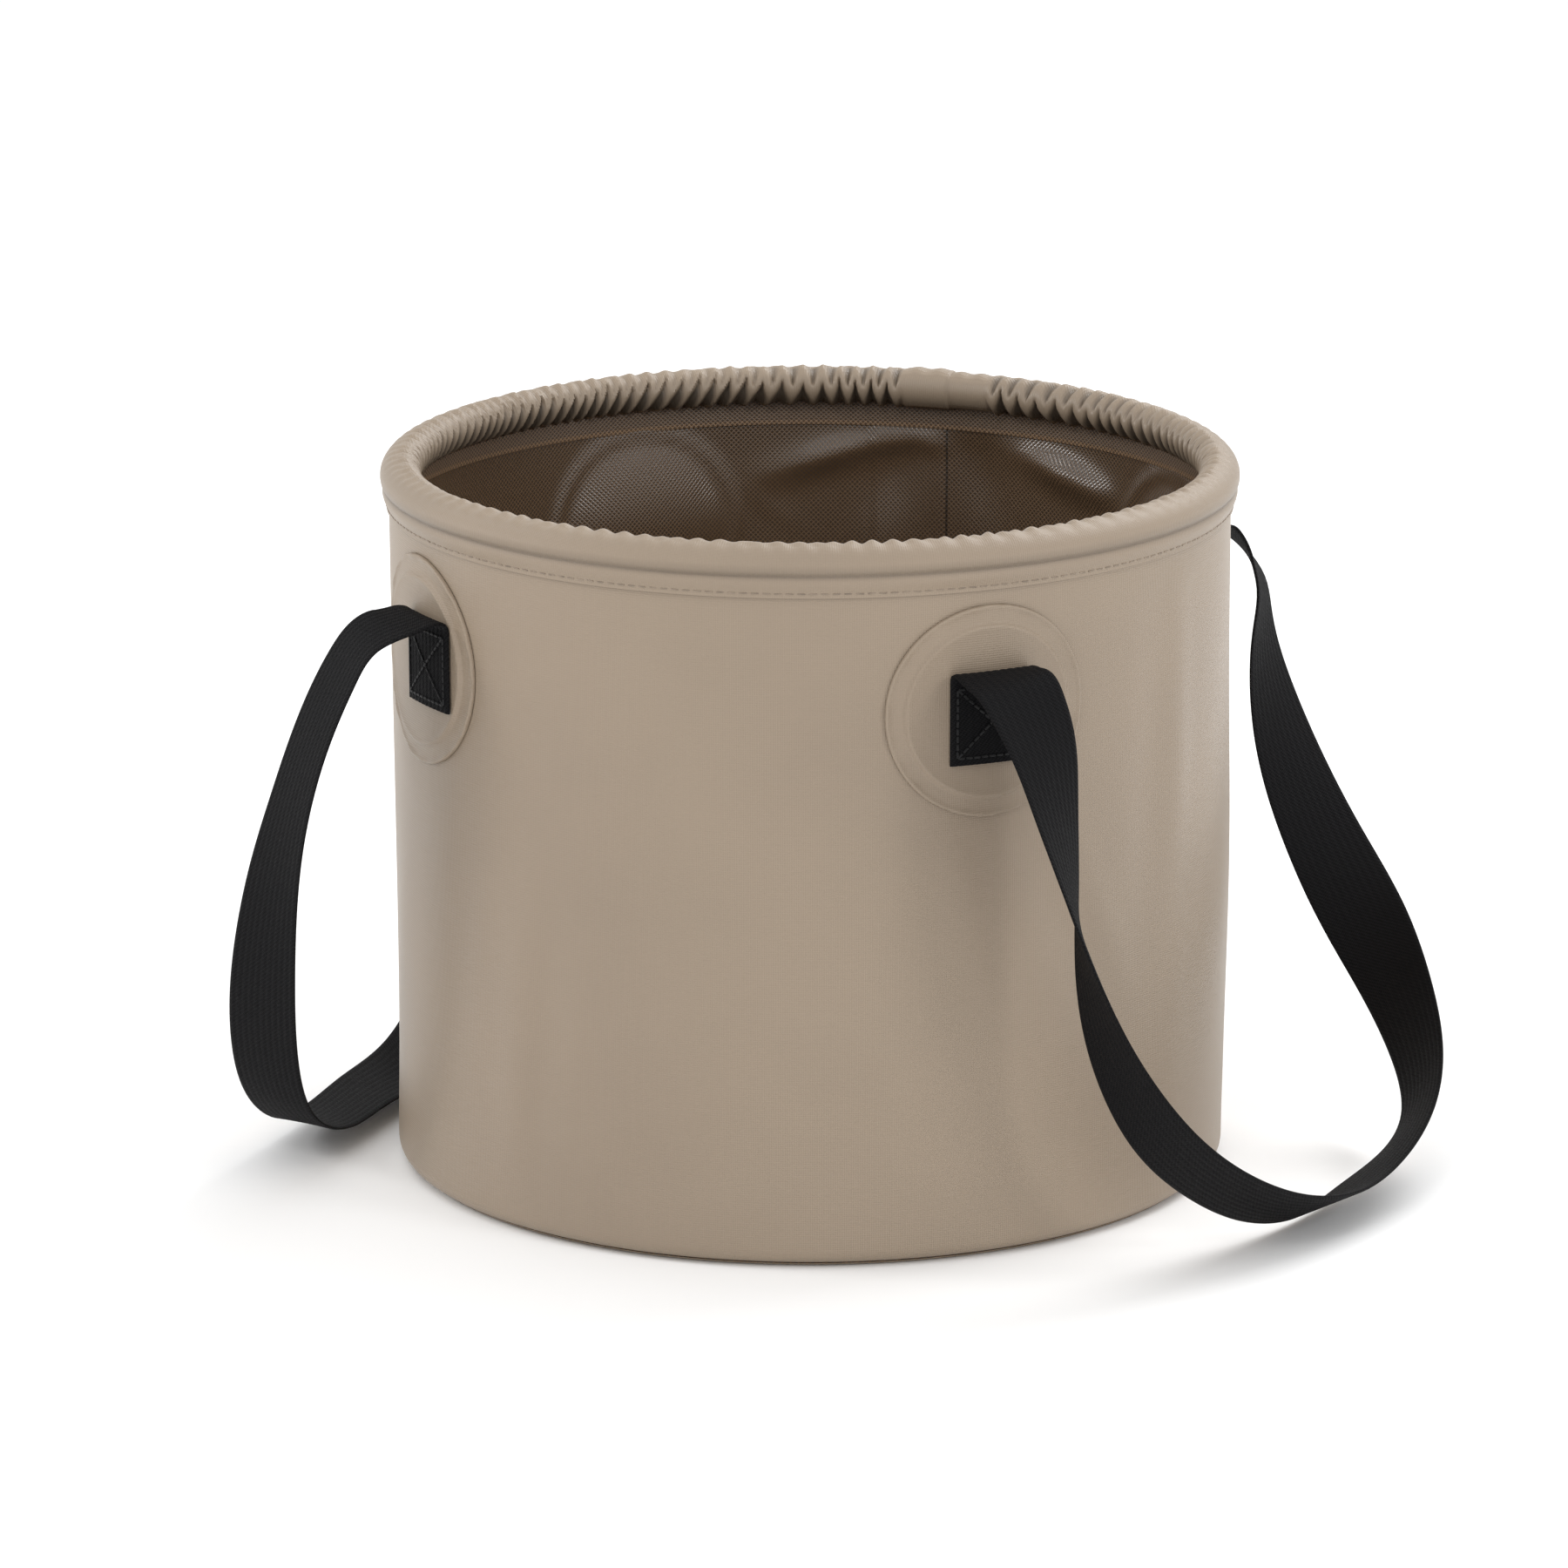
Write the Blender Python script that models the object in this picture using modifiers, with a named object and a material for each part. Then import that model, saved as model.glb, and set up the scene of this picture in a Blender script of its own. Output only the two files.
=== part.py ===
"""Collapsible camp bucket: a soft coated bucket with a hooped rim and two webbing straps.

Metres, +Z up. The origin is on the bucket's axis, at the floor, and the front is -Y.
The wall panel hangs between the rim and the base panel. Four round patches on the wall
hold the sewn ends of two carrying straps, which hang down to the floor on both sides.
"""

import math

import bmesh
import bpy
import numpy as np
from mathutils import Vector

# Whole bucket
bucket_height = 0.252
rim_diameter = 0.300
base_diameter = 0.2924
fit_gap = 0.0003
round_steps = 48

# Rim: a tube hoop, rolled into its cover
hoop_radius = 0.0050
hoop_wall = 0.0017
hoop_end_gap = 0.0005
hoop_sides = 8
joiner_length = 0.075
cover_thickness = 0.0014
cover_steps = 12
flange_thickness = 0.0006
wall_hang_offset = 0.0037
outer_flange_drop = 0.0174
inner_flange_drop = 0.0220
wall_tuck_depth = 0.0125
seam_thread_width = 0.0006
seam_thread_thickness = 0.0005
seam_edge_distance = 0.0016

# Wall and base
wall_thickness = 0.0007
base_thickness = 0.0008
base_corner_radius = 0.0050
base_corner_steps = 3
base_weld_width = 0.0102
lap_width = 0.028
lap_overlap = 0.0003

# Patches and what is sewn on them
right_patch_bearing = math.radians(46)
left_patch_bearing = math.radians(45)
patch_drop = 0.0590
patch_radius = 0.0365
patch_thickness = 0.0008
patch_slope = 0.0013
backing_radius = 0.0280
backing_thickness = 0.0007
backing_edge_gap = 0.0010
disc_steps = 20

# Straps
webbing_width = 0.030
webbing_thickness = 0.0014
tab_height = 0.029
tab_columns = 4
right_tab_bearing = math.radians(46)
left_tab_bearing = math.radians(49)
low_tab_rise = 0.0115
high_tab_rise = 0.0150
stitch_margin = 0.0022
stitch_width = 0.0009
stitch_thickness = 0.0004
stitch_side_steps = 4
bend_length = 0.036
pivot_inset = 0.0300
pivot_rise = 0.0075
fold_step = 0.0020
loop_step = 0.0085
fine_steps = 6
strap_reach = 0.106
fold_rise = 0.0030
fold_reach = 0.0135

# Route of the webbing's middle line, from the front fold to the rear one, chosen by hand.
# Each row: share of strap_reach outwards from the fold, share of the fold's distance from
# the middle plane, share of the nearer fold's height for the webbing's lower edge, then the
# heading and the tilt of the webbing's width, in degrees.
right_route_shares = (
    (0.109, -1.093, 0.993, 49, 8),
    (0.158, -1.120, 0.965, 54, 8),
    (0.207, -1.135, 0.919, 62, 6),
    (0.264, -1.140, 0.812, 80, 2),
    (0.320, -1.130, 0.659, 103, -2),
    (0.372, -1.112, 0.506, 126, -6),
    (0.460, -1.074, 0.351, 145, -12),
    (0.583, -0.991, 0.216, 158, -19),
    (0.706, -0.815, 0.114, 164, -23),
    (0.828, -0.584, 0.040, 167, -27),
    (0.923, -0.324, 0.010, 168, -28),
    (0.979, -0.037, 0.018, 167, -29),
    (1.017, 0.250, 0.034, 160, -41),
    (0.998, 0.519, 0.075, 155, -52),
    (0.885, 0.741, 0.158, 165, -49),
    (0.725, 0.917, 0.261, 187, -38),
    (0.547, 1.038, 0.390, 216, -20),
    (0.385, 1.103, 0.538, 236, -9),
    (0.281, 1.130, 0.677, 254, -4),
    (0.232, 1.127, 0.837, 275, 1),
    (0.222, 1.129, 0.904, 284, 3),
    (0.181, 1.125, 0.945, 292, 6),
    (0.131, 1.106, 0.979, 302, 8),
    (0.078, 1.076, 1.003, 311, 6),
)
left_route_shares = (
    (0.089, -1.094, 1.000, 45, 5),
    (0.146, -1.125, 0.984, 49, 6),
    (0.226, -1.148, 0.927, 49, 7),
    (0.328, -1.160, 0.816, 46, 5),
    (0.433, -1.152, 0.655, 41, 5),
    (0.503, -1.122, 0.516, 31, 9),
    (0.556, -1.078, 0.373, 20, 12),
    (0.602, -0.989, 0.233, 13, 14),
    (0.624, -0.848, 0.112, 9, 12),
    (0.620, -0.610, 0.047, 3, 2),
    (0.619, -0.335, 0.029, 0, -4),
    (0.619, -0.062, 0.028, 0, 3),
    (0.619, 0.212, 0.008, 1, 13),
    (0.620, 0.459, 0.036, 0, 14),
    (0.624, 0.706, 0.123, -6, 14),
    (0.602, 0.893, 0.242, -13, 14),
    (0.556, 1.016, 0.386, -20, 12),
    (0.484, 1.086, 0.532, -31, 9),
    (0.433, 1.152, 0.655, -41, 5),
    (0.328, 1.160, 0.816, -46, 5),
    (0.226, 1.148, 0.927, -49, 7),
    (0.146, 1.125, 0.984, -49, 6),
    (0.089, 1.094, 1.000, -45, 5),
)

# The fold above each tab: shares of fold_reach outwards and of fold_rise upwards, then the
# part of the first route row's turn and tilt that the webbing has made there.
fold_shares = (
    (0.03, 0.55, 0.0),
    (0.22, 1.00, 0.12),
    (0.60, 0.83, 0.55),
)

# Worked out: the rim
roll_radius = hoop_radius + fit_gap + cover_thickness
roll_centre_radius = rim_diameter / 2 - roll_radius
roll_centre_height = bucket_height - roll_radius
cover_step = math.tau / cover_steps
cavity_radius = (hoop_radius + fit_gap) / math.cos(cover_step / 2)
round_step = math.tau / round_steps

# Worked out: the wall's outer face, and the two flanges beside its top. The flanges' faces
# are distances from the wall's outer face, outwards.
wall_top_radius = roll_centre_radius + wall_hang_offset
wall_top_height = bucket_height - wall_tuck_depth
outer_flange_bottom = bucket_height - outer_flange_drop
inner_flange_bottom = bucket_height - inner_flange_drop
outer_flange_face = fit_gap
inner_flange_face = -wall_thickness - fit_gap
hem_height = base_thickness + fit_gap
corner_centre_radius = base_diameter / 2 - base_corner_radius
corner_centre_height = hem_height + base_corner_radius
wall_slope = (wall_top_radius - base_diameter / 2) / (wall_top_height - corner_centre_height)

# Worked out: the layers on the wall, as distances from its outer face
backing_face = fit_gap
patch_ring_face = fit_gap
patch_raise = backing_thickness + fit_gap
tab_face = patch_ring_face + patch_raise + patch_thickness + fit_gap
stitch_face = tab_face + webbing_thickness + fit_gap

patch_centre_height = bucket_height - patch_drop
low_fold_height = patch_centre_height + low_tab_rise
high_fold_height = patch_centre_height + high_tab_rise

# Each corner's patch bearing, its tab's bearing, and the height of the fold at the tab's top
corners = (
    ("front_right", -right_patch_bearing, -right_tab_bearing, low_fold_height),
    ("rear_right", right_patch_bearing, right_tab_bearing, high_fold_height),
    ("rear_left", math.pi - left_patch_bearing, math.pi - left_tab_bearing, high_fold_height),
    ("front_left", math.pi + left_patch_bearing, math.pi + left_tab_bearing, high_fold_height),
)


def wall_radius_at(height):
    """Radius of the wall's outer face, which narrows a little towards the base."""
    return wall_top_radius + (height - wall_top_height) * wall_slope


def on_wall(bearing, across, height, offset):
    """A place wrapped on the wall: across it from a bearing, at a height, off its outer face."""
    radius = wall_radius_at(height) + offset
    angle = bearing + across / wall_radius_at(patch_centre_height)
    return Vector((radius * math.cos(angle), radius * math.sin(angle), height))


def finish(name, red, green, blue, roughness):
    """A Principled material from a colour as it shows on a screen, 0 to 255."""
    material = bpy.data.materials.new(name)
    material.use_nodes = True
    shader = material.node_tree.nodes["Principled BSDF"]
    linear = [(channel / 255) ** 2.2 for channel in (red, green, blue)]
    shader.inputs["Base Color"].default_value = (*linear, 1)
    shader.inputs["Roughness"].default_value = roughness
    shader.inputs["Metallic"].default_value = 0
    return material


def place(name, data, material, collection):
    """Put mesh or curve data in a collection as a named object."""
    piece = bpy.data.objects.new(name, data)
    data.materials.append(material)
    collection.objects.link(piece)
    return piece


def mesh_from(name, shape):
    """End a bmesh as a mesh, and turn a closed one's faces outwards."""
    bmesh.ops.recalc_face_normals(shape, faces=shape.faces)
    if shape.calc_volume(signed=True) < 0:
        bmesh.ops.reverse_faces(shape, faces=shape.faces)
    mesh = bpy.data.meshes.new(name)
    shape.to_mesh(mesh)
    shape.free()
    return mesh


def turned(name, profile, material, collection, closed=True, start=0.0, turn=math.tau, steps=round_steps):
    """Turn a profile of (radius, height) points about the bucket's axis."""
    shape = bmesh.new()
    points = [
        shape.verts.new((radius * math.cos(start), radius * math.sin(start), height))
        for radius, height in profile
    ]
    for first, second in zip(points, points[1:]):
        shape.edges.new((first, second))
    if closed:
        shape.edges.new((points[-1], points[0]))
    mesh = bpy.data.meshes.new(name)
    shape.to_mesh(mesh)
    shape.free()
    piece = place(name, mesh, material, collection)
    screw = piece.modifiers.new("Turn", "SCREW")
    screw.axis = "Z"
    screw.angle = turn
    screw.steps = steps
    screw.render_steps = steps
    screw.use_merge_vertices = turn == math.tau
    screw.merge_threshold = fit_gap / 100
    return piece


def arc(centre_radius, centre_height, radius, angles):
    """Points of a profile along an arc."""
    return [
        (centre_radius + radius * math.cos(angle), centre_height + radius * math.sin(angle))
        for angle in angles
    ]


def angles_between(first, last, step):
    """The two ends and the whole steps between them, in order from the first to the last."""
    low, high = sorted((first, last))
    whole = [index * step for index in range(math.ceil(low / step), math.floor(high / step) + 1)]
    inside = [angle for angle in whole if low + step / 4 < angle < high - step / 4]
    ordered = [low, *inside, high]
    return ordered if first < last else ordered[::-1]


def flange_edge(face, radius):
    """Angle at which a line beside the wall, at a face's distance, leaves a circle round the hoop."""
    lean = math.atan(wall_slope)
    reach = (wall_radius_at(roll_centre_height) + face - roll_centre_radius) * math.cos(lean)
    return -lean - math.acos(reach / radius)


def build_rim(collection, materials):
    """Hoop tube, its joiner, the rolled cover and the seam under the roll."""
    opening = hoop_end_gap / roll_centre_radius
    circle = [-index * math.tau / hoop_sides for index in range(hoop_sides)]
    hoop = turned(
        "rim_hoop",
        arc(roll_centre_radius, roll_centre_height, hoop_radius, circle),
        materials["hoop"],
        collection,
        start=math.pi / 2 + opening / 2,
        turn=math.tau - opening,
    )
    shell = hoop.modifiers.new("Tube wall", "SOLIDIFY")
    shell.thickness = hoop_wall
    shell.offset = -1
    shell.use_even_offset = True

    bore_flat = hoop_radius * math.cos(math.pi / hoop_sides) - hoop_wall
    half_steps = max(1, round(joiner_length / 2 / roll_centre_radius / round_step))
    plug = bpy.data.curves.new("hoop_joiner", "CURVE")
    plug.dimensions = "3D"
    plug.bevel_depth = bore_flat - fit_gap
    plug.bevel_resolution = 2
    plug.use_fill_caps = True
    line = plug.splines.new("POLY")
    line.points.add(2 * half_steps)
    for index, point in enumerate(line.points):
        angle = math.pi / 2 + (index - half_steps) * round_step
        point.co = (
            roll_centre_radius * math.cos(angle),
            roll_centre_radius * math.sin(angle),
            roll_centre_height,
            1,
        )
    place("hoop_joiner", plug, materials["joiner"], collection)

    outer_skin = outer_flange_face + flange_thickness
    inner_skin = inner_flange_face - flange_thickness
    leave_outer = flange_edge(outer_skin, roll_radius)
    leave_inner = math.tau + flange_edge(inner_skin, roll_radius)
    slot_outer = flange_edge(outer_flange_face, cavity_radius)
    slot_inner = math.tau + flange_edge(inner_flange_face, cavity_radius)
    outside = arc(
        roll_centre_radius,
        roll_centre_height,
        roll_radius,
        angles_between(leave_inner, leave_outer, cover_step),
    )
    cavity = arc(
        roll_centre_radius,
        roll_centre_height,
        cavity_radius,
        angles_between(slot_outer, slot_inner, cover_step),
    )
    outer_bottom_radius = wall_radius_at(outer_flange_bottom)
    inner_bottom_radius = wall_radius_at(inner_flange_bottom)
    profile = [
        (inner_bottom_radius + inner_skin, inner_flange_bottom),
        *outside,
        (outer_bottom_radius + outer_skin, outer_flange_bottom),
        (outer_bottom_radius + outer_flange_face, outer_flange_bottom),
        *cavity,
        (inner_bottom_radius + inner_flange_face, inner_flange_bottom),
    ]
    turned("rim_cover", profile, materials["cover"], collection)

    thread_height = outer_flange_bottom + seam_edge_distance
    thread_face = wall_radius_at(thread_height) + outer_skin + fit_gap
    thread = [
        (thread_face + seam_thread_thickness, thread_height + seam_thread_width / 2),
        (thread_face + seam_thread_thickness, thread_height - seam_thread_width / 2),
        (thread_face, thread_height - seam_thread_width / 2),
        (thread_face, thread_height + seam_thread_width / 2),
    ]
    turned("rim_seam_thread", thread, materials["thread"], collection)


def build_wall(collection, cutters, materials):
    """The wall with its turned-in lower edge and its lap at the back, and the base panel."""
    quarter = math.pi / 2
    step = quarter / base_corner_steps
    down = [-index * step for index in range(base_corner_steps + 1)]
    inner_corner = base_corner_radius - wall_thickness
    hem_radius = corner_centre_radius - base_weld_width
    profile = [
        (wall_top_radius, wall_top_height),
        *arc(corner_centre_radius, corner_centre_height, base_corner_radius, down),
        (hem_radius, hem_height),
        (hem_radius, hem_height + wall_thickness),
        *arc(corner_centre_radius, corner_centre_height, inner_corner, down[::-1]),
        (wall_top_radius - wall_thickness, wall_top_height),
    ]
    wall = turned("wall_panel", profile, materials["wall"], collection)

    lap_bottom = corner_centre_height + base_corner_radius / 2
    lap_top = inner_flange_bottom - fit_gap
    lap_turn = lap_width / wall_top_radius
    outer = [wall_radius_at(height) - wall_thickness + lap_overlap for height in (lap_top, lap_bottom)]
    lap_depth = wall_thickness + lap_overlap
    lap_profile = [
        (outer[0], lap_top),
        (outer[1], lap_bottom),
        (outer[1] - lap_depth, lap_bottom),
        (outer[0] - lap_depth, lap_top),
    ]
    lap = turned(
        "lap_strip",
        lap_profile,
        materials["wall"],
        cutters,
        start=math.pi / 2,
        turn=lap_turn,
        steps=2,
    )
    cap_ends(lap)
    lap.hide_render = True
    lap.display_type = "WIRE"
    union = wall.modifiers.new("Lap", "BOOLEAN")
    union.operation = "UNION"
    union.object = lap

    base_radius = corner_centre_radius + fit_gap
    disc = [(0, base_thickness), (base_radius, base_thickness), (base_radius, 0), (0, 0)]
    turned("base_panel", disc, materials["base"], collection, closed=False)


def cap_ends(piece):
    """Close the two open ends of a part-turned piece, and keep the result as its mesh."""
    depsgraph = bpy.context.evaluated_depsgraph_get()
    mesh = bpy.data.meshes.new_from_object(piece.evaluated_get(depsgraph))
    shape = bmesh.new()
    shape.from_mesh(mesh)
    bmesh.ops.holes_fill(shape, edges=[edge for edge in shape.edges if edge.is_boundary], sides=0)
    bmesh.ops.recalc_face_normals(shape, faces=shape.faces)
    shape.to_mesh(mesh)
    shape.free()
    piece.modifiers.clear()
    piece.data = mesh


def wrapped_disc(name, profile, bearing, material, collection):
    """Spin a profile of (radius, offset) points into a disc, and wrap it on the wall."""
    shape = bmesh.new()
    points = [shape.verts.new((radius, 0, offset)) for radius, offset in profile]
    for first, second in zip(points, points[1:]):
        shape.edges.new((first, second))
    bmesh.ops.spin(
        shape,
        geom=shape.verts[:] + shape.edges[:],
        cent=(0, 0, 0),
        axis=(0, 0, 1),
        angle=math.tau,
        steps=disc_steps,
        use_merge=True,
    )
    bmesh.ops.remove_doubles(shape, verts=shape.verts, dist=fit_gap / 100)
    for vertex in shape.verts:
        across, up, offset = vertex.co
        vertex.co = on_wall(bearing, across, patch_centre_height + up, offset)
    place(name, mesh_from(name, shape), material, collection)


def build_patches(collection, materials):
    """The four round patches, each with a backing disc under its raised middle."""
    raised_radius = backing_radius + backing_edge_gap
    slope_end = raised_radius + patch_slope
    raised = patch_ring_face + patch_raise
    inside = (
        (0, raised),
        (raised_radius / 2, raised),
        (raised_radius, raised),
        (slope_end, patch_ring_face),
        (patch_radius, patch_ring_face),
    )
    outside = [(radius, offset + patch_thickness) for radius, offset in inside]
    backing = (
        (0, backing_face),
        (backing_radius / 2, backing_face),
        (backing_radius, backing_face),
        (backing_radius, backing_face + backing_thickness),
        (backing_radius / 2, backing_face + backing_thickness),
        (0, backing_face + backing_thickness),
    )
    for corner, bearing, _, _ in corners:
        wrapped_disc(f"{corner}_patch", [*inside, *outside[::-1]], bearing, materials["patch"], collection)
        wrapped_disc(f"{corner}_backing", backing, bearing, materials["backing"], collection)


def build_tab(corner, bearing, fold_height, material, collection):
    """The sewn end of a strap: a flat length of webbing, wrapped on its patch."""
    shape = bmesh.new()
    bmesh.ops.create_grid(shape, x_segments=tab_columns, y_segments=1, size=0.5)
    for vertex in shape.verts:
        across = vertex.co.x * webbing_width
        height = fold_height + (vertex.co.y - 0.5) * tab_height
        vertex.co = on_wall(bearing, across, height, tab_face + webbing_thickness / 2)
    piece = place(f"{corner}_strap_tab", mesh_from(f"{corner}_strap_tab", shape), material, collection)
    thicken(piece, webbing_thickness)


def thicken(piece, thickness):
    """Give an open sheet its thickness, half to each side."""
    shell = piece.modifiers.new("Thickness", "SOLIDIFY")
    shell.thickness = thickness
    shell.offset = 0
    shell.use_even_offset = True


def side_points(first, last):
    """Points along one straight side of the stitch outline, without its end."""
    first, last = Vector(first), Vector(last)
    return [first.lerp(last, index / stitch_side_steps) for index in range(stitch_side_steps)]


def build_box_stitch(corner, bearing, fold_height, material, collection):
    """The box of stitches with a cross in it, as one flat outline with four openings."""
    half_width = webbing_width / 2 - stitch_margin
    half_height = tab_height / 2 - stitch_margin
    box = [(-half_width, -half_height), (half_width, -half_height), (half_width, half_height)]
    box.append((-half_width, half_height))
    inset = stitch_width
    point_inset = stitch_width * (1 + math.sqrt(2)) / 2
    outline = bpy.data.curves.new(f"{corner}_box_stitch", "CURVE")
    outline.dimensions = "2D"
    outline.fill_mode = "BOTH"
    outline.extrude = stitch_thickness / 2
    loops = [[point for index in range(4) for point in side_points(box[index], box[(index + 1) % 4])]]
    for sign in (-1, 1):
        tip = (0, sign * stitch_width / math.sqrt(2))
        left = (-half_width + point_inset + inset / 2, sign * (half_height - inset))
        right = (half_width - point_inset - inset / 2, sign * (half_height - inset))
        loops.append(side_points(tip, left) + side_points(left, right) + side_points(right, tip))
        tip = (sign * stitch_width / math.sqrt(2), 0)
        low = (sign * (half_width - inset), -half_height + point_inset + inset / 2)
        high = (sign * (half_width - inset), half_height - point_inset - inset / 2)
        loops.append(side_points(tip, low) + side_points(low, high) + side_points(high, tip))
    for loop in loops:
        spline = outline.splines.new("POLY")
        spline.points.add(len(loop) - 1)
        for point, place_on_tab in zip(spline.points, loop):
            point.co = (place_on_tab[0], place_on_tab[1], 0, 1)
        spline.use_cyclic_u = True

    flat = place(f"{corner}_stitch_outline", outline, material, collection)
    depsgraph = bpy.context.evaluated_depsgraph_get()
    mesh = bpy.data.meshes.new_from_object(flat.evaluated_get(depsgraph))
    bpy.data.objects.remove(flat)
    shape = bmesh.new()
    shape.from_mesh(mesh)
    bmesh.ops.remove_doubles(shape, verts=shape.verts, dist=fit_gap / 100)
    flat_faces = [face for face in shape.faces if len({round(v.co.z / fit_gap) for v in face.verts}) == 1]
    bmesh.ops.beautify_fill(
        shape,
        faces=flat_faces,
        edges=[edge for edge in shape.edges if all(face in flat_faces for face in edge.link_faces)],
        method="ANGLE",
    )
    middle = fold_height - tab_height / 2
    for vertex in shape.verts:
        across, up, out = vertex.co
        offset = stitch_face + stitch_thickness / 2 + out
        vertex.co = on_wall(bearing, across, middle + up, offset)
    bpy.data.meshes.remove(mesh)
    place(f"{corner}_box_stitch", mesh_from(f"{corner}_box_stitch", shape), material, collection)


def smooth_columns(places, values, wanted):
    """Natural cubic spline through rows of values at given places, read at the wanted places."""
    steps = np.diff(places)
    slopes = np.diff(values, axis=0) / steps[:, None]
    size = len(places)
    system = np.eye(size)
    right_side = np.zeros_like(values)
    for index in range(1, size - 1):
        before, after = steps[index - 1], steps[index]
        system[index, index - 1 : index + 2] = (before, 2 * (before + after), after)
        right_side[index] = 6 * (slopes[index] - slopes[index - 1])
    bends = np.linalg.solve(system, right_side)
    spans = np.clip(np.searchsorted(places, wanted) - 1, 0, size - 2)
    width = steps[spans][:, None]
    before = (places[spans + 1] - wanted)[:, None]
    after = (wanted - places[spans])[:, None]
    return (
        bends[spans] * before**3 / (6 * width)
        + bends[spans + 1] * after**3 / (6 * width)
        + (values[spans] / width - bends[spans] * width / 6) * before
        + (values[spans + 1] / width - bends[spans + 1] * width / 6) * after
    )


def fold_radius(fold_height):
    """Radius of the middle of the webbing where it leaves the top of a tab."""
    return wall_radius_at(fold_height) + tab_face + webbing_thickness / 2


def strap_rows(shares, side, bearing, fold_heights):
    """Rows of x, y, z, heading and tilt along a strap, from its front fold to its rear one."""
    front_height, rear_height = fold_heights
    fold_out = fold_radius(front_height) * math.cos(bearing)
    fold_along = fold_radius(front_height) * math.sin(bearing)
    square = 90 - math.degrees(bearing)

    def fold(sign, height, row):
        stretch = [(fold_out, sign * fold_along, height, -sign * square, 0)]
        for reach_share, rise_share, turn_share in fold_shares:
            out = fold_reach * reach_share
            stretch.append(
                (
                    fold_out + out * math.cos(bearing),
                    sign * (fold_along + out * math.sin(bearing)),
                    height + fold_rise * rise_share,
                    -sign * square + turn_share * (row[3] + sign * square),
                    turn_share * row[4],
                )
            )
        return stretch

    rows = []
    for out_share, along_share, height_share, heading, tilt in shares:
        nearer_height = front_height if along_share < 0 else rear_height
        drop = webbing_width / 2 * abs(math.sin(math.radians(tilt)))
        rows.append(
            (
                fold_out + strap_reach * out_share,
                fold_along * along_share,
                nearer_height * height_share + drop,
                heading,
                tilt,
            )
        )
    whole_turn = 360 if shares[-1][3] > 180 else 0
    rear = [
        (x, y, z, heading + whole_turn, tilt)
        for x, y, z, heading, tilt in fold(
            1, rear_height, (0, 0, 0, shares[-1][3] - whole_turn, shares[-1][4])
        )
    ]
    rows = np.array([*fold(-1, front_height, shares[0]), *rows, *rear[::-1]], dtype=float)
    rows[:, 0] *= side
    return rows


def strap_route(shares, side, bearing, fold_heights):
    """A strap's middle line and width direction, as functions of the length along it."""
    rows = strap_rows(shares, side, bearing, fold_heights)
    chords = np.linalg.norm(np.diff(rows[:, :3], axis=0), axis=1)
    places = np.concatenate(([0], np.cumsum(chords)))
    dense = np.linspace(0, places[-1], 40 * len(rows))
    smooth = smooth_columns(places, rows, dense)
    pieces = np.linalg.norm(np.diff(smooth[:, :3], axis=0), axis=1)
    lengths = np.concatenate(([0], np.cumsum(pieces)))

    heading, tilt = np.radians(smooth[:, 3]), np.radians(smooth[:, 4])
    across = np.stack(
        (side * np.cos(tilt) * np.cos(heading), np.cos(tilt) * np.sin(heading), np.sin(tilt)), axis=1
    )
    along = np.gradient(smooth[:, :3], axis=0)
    along /= np.linalg.norm(along, axis=1)[:, None]
    across -= (across * along).sum(axis=1)[:, None] * along
    across /= np.linalg.norm(across, axis=1)[:, None]

    def at(wanted):
        middle = np.stack([np.interp(wanted, lengths, smooth[:, axis]) for axis in range(3)], axis=1)
        width = np.stack([np.interp(wanted, lengths, across[:, axis]) for axis in range(3)], axis=1)
        return middle, width

    return at, lengths[-1]


def webbing(name, route, stations, material, collection):
    """A length of webbing laid along a route, with a row of faces between each two stations."""
    middle, width = route(stations)
    steps = len(stations) - 1
    shape = bmesh.new()
    bmesh.ops.create_grid(shape, x_segments=steps, y_segments=2, size=0.5)
    for vertex in shape.verts:
        station = round((vertex.co.x + 0.5) * steps)
        vertex.co = Vector(middle[station] + width[station] * vertex.co.y * webbing_width)
    piece = place(name, mesh_from(name, shape), material, collection)
    thicken(piece, webbing_thickness)


def build_straps(collection, materials):
    """Tabs, box stitches, and the two straps, each a front bend, a loop and a rear bend."""
    for corner, _, bearing, fold_height in corners:
        build_tab(corner, bearing, fold_height, materials["tab"], collection)
        build_box_stitch(corner, bearing, fold_height, materials["stitch"], collection)
    right_folds = (low_fold_height, high_fold_height)
    left_folds = (high_fold_height, high_fold_height)
    straps = (
        ("right", 1, right_route_shares, right_tab_bearing, right_folds),
        ("left", -1, left_route_shares, left_tab_bearing, left_folds),
    )
    for side_name, side, shares, bearing, fold_heights in straps:
        route, length = strap_route(shares, side, bearing, fold_heights)
        bend = np.linspace(fit_gap, bend_length, 1 + round(bend_length / fold_step))
        loop_start = bend_length + fit_gap
        fine_length = fine_steps * fold_step
        fine = loop_start + np.arange(fine_steps) * fold_step
        plain_start = loop_start + fine_length
        plain_steps = round((length - 2 * plain_start) / loop_step)
        plain = np.linspace(plain_start, length - plain_start, 1 + plain_steps)
        loop = np.concatenate((fine, plain, length - fine[::-1]))
        webbing(f"front_{side_name}_strap_bend", route, bend, materials["bend"], collection)
        webbing(f"{side_name}_strap_loop", route, loop, materials["loop"], collection)
        webbing(f"rear_{side_name}_strap_bend", route, length - bend[::-1], materials["bend"], collection)


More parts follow.
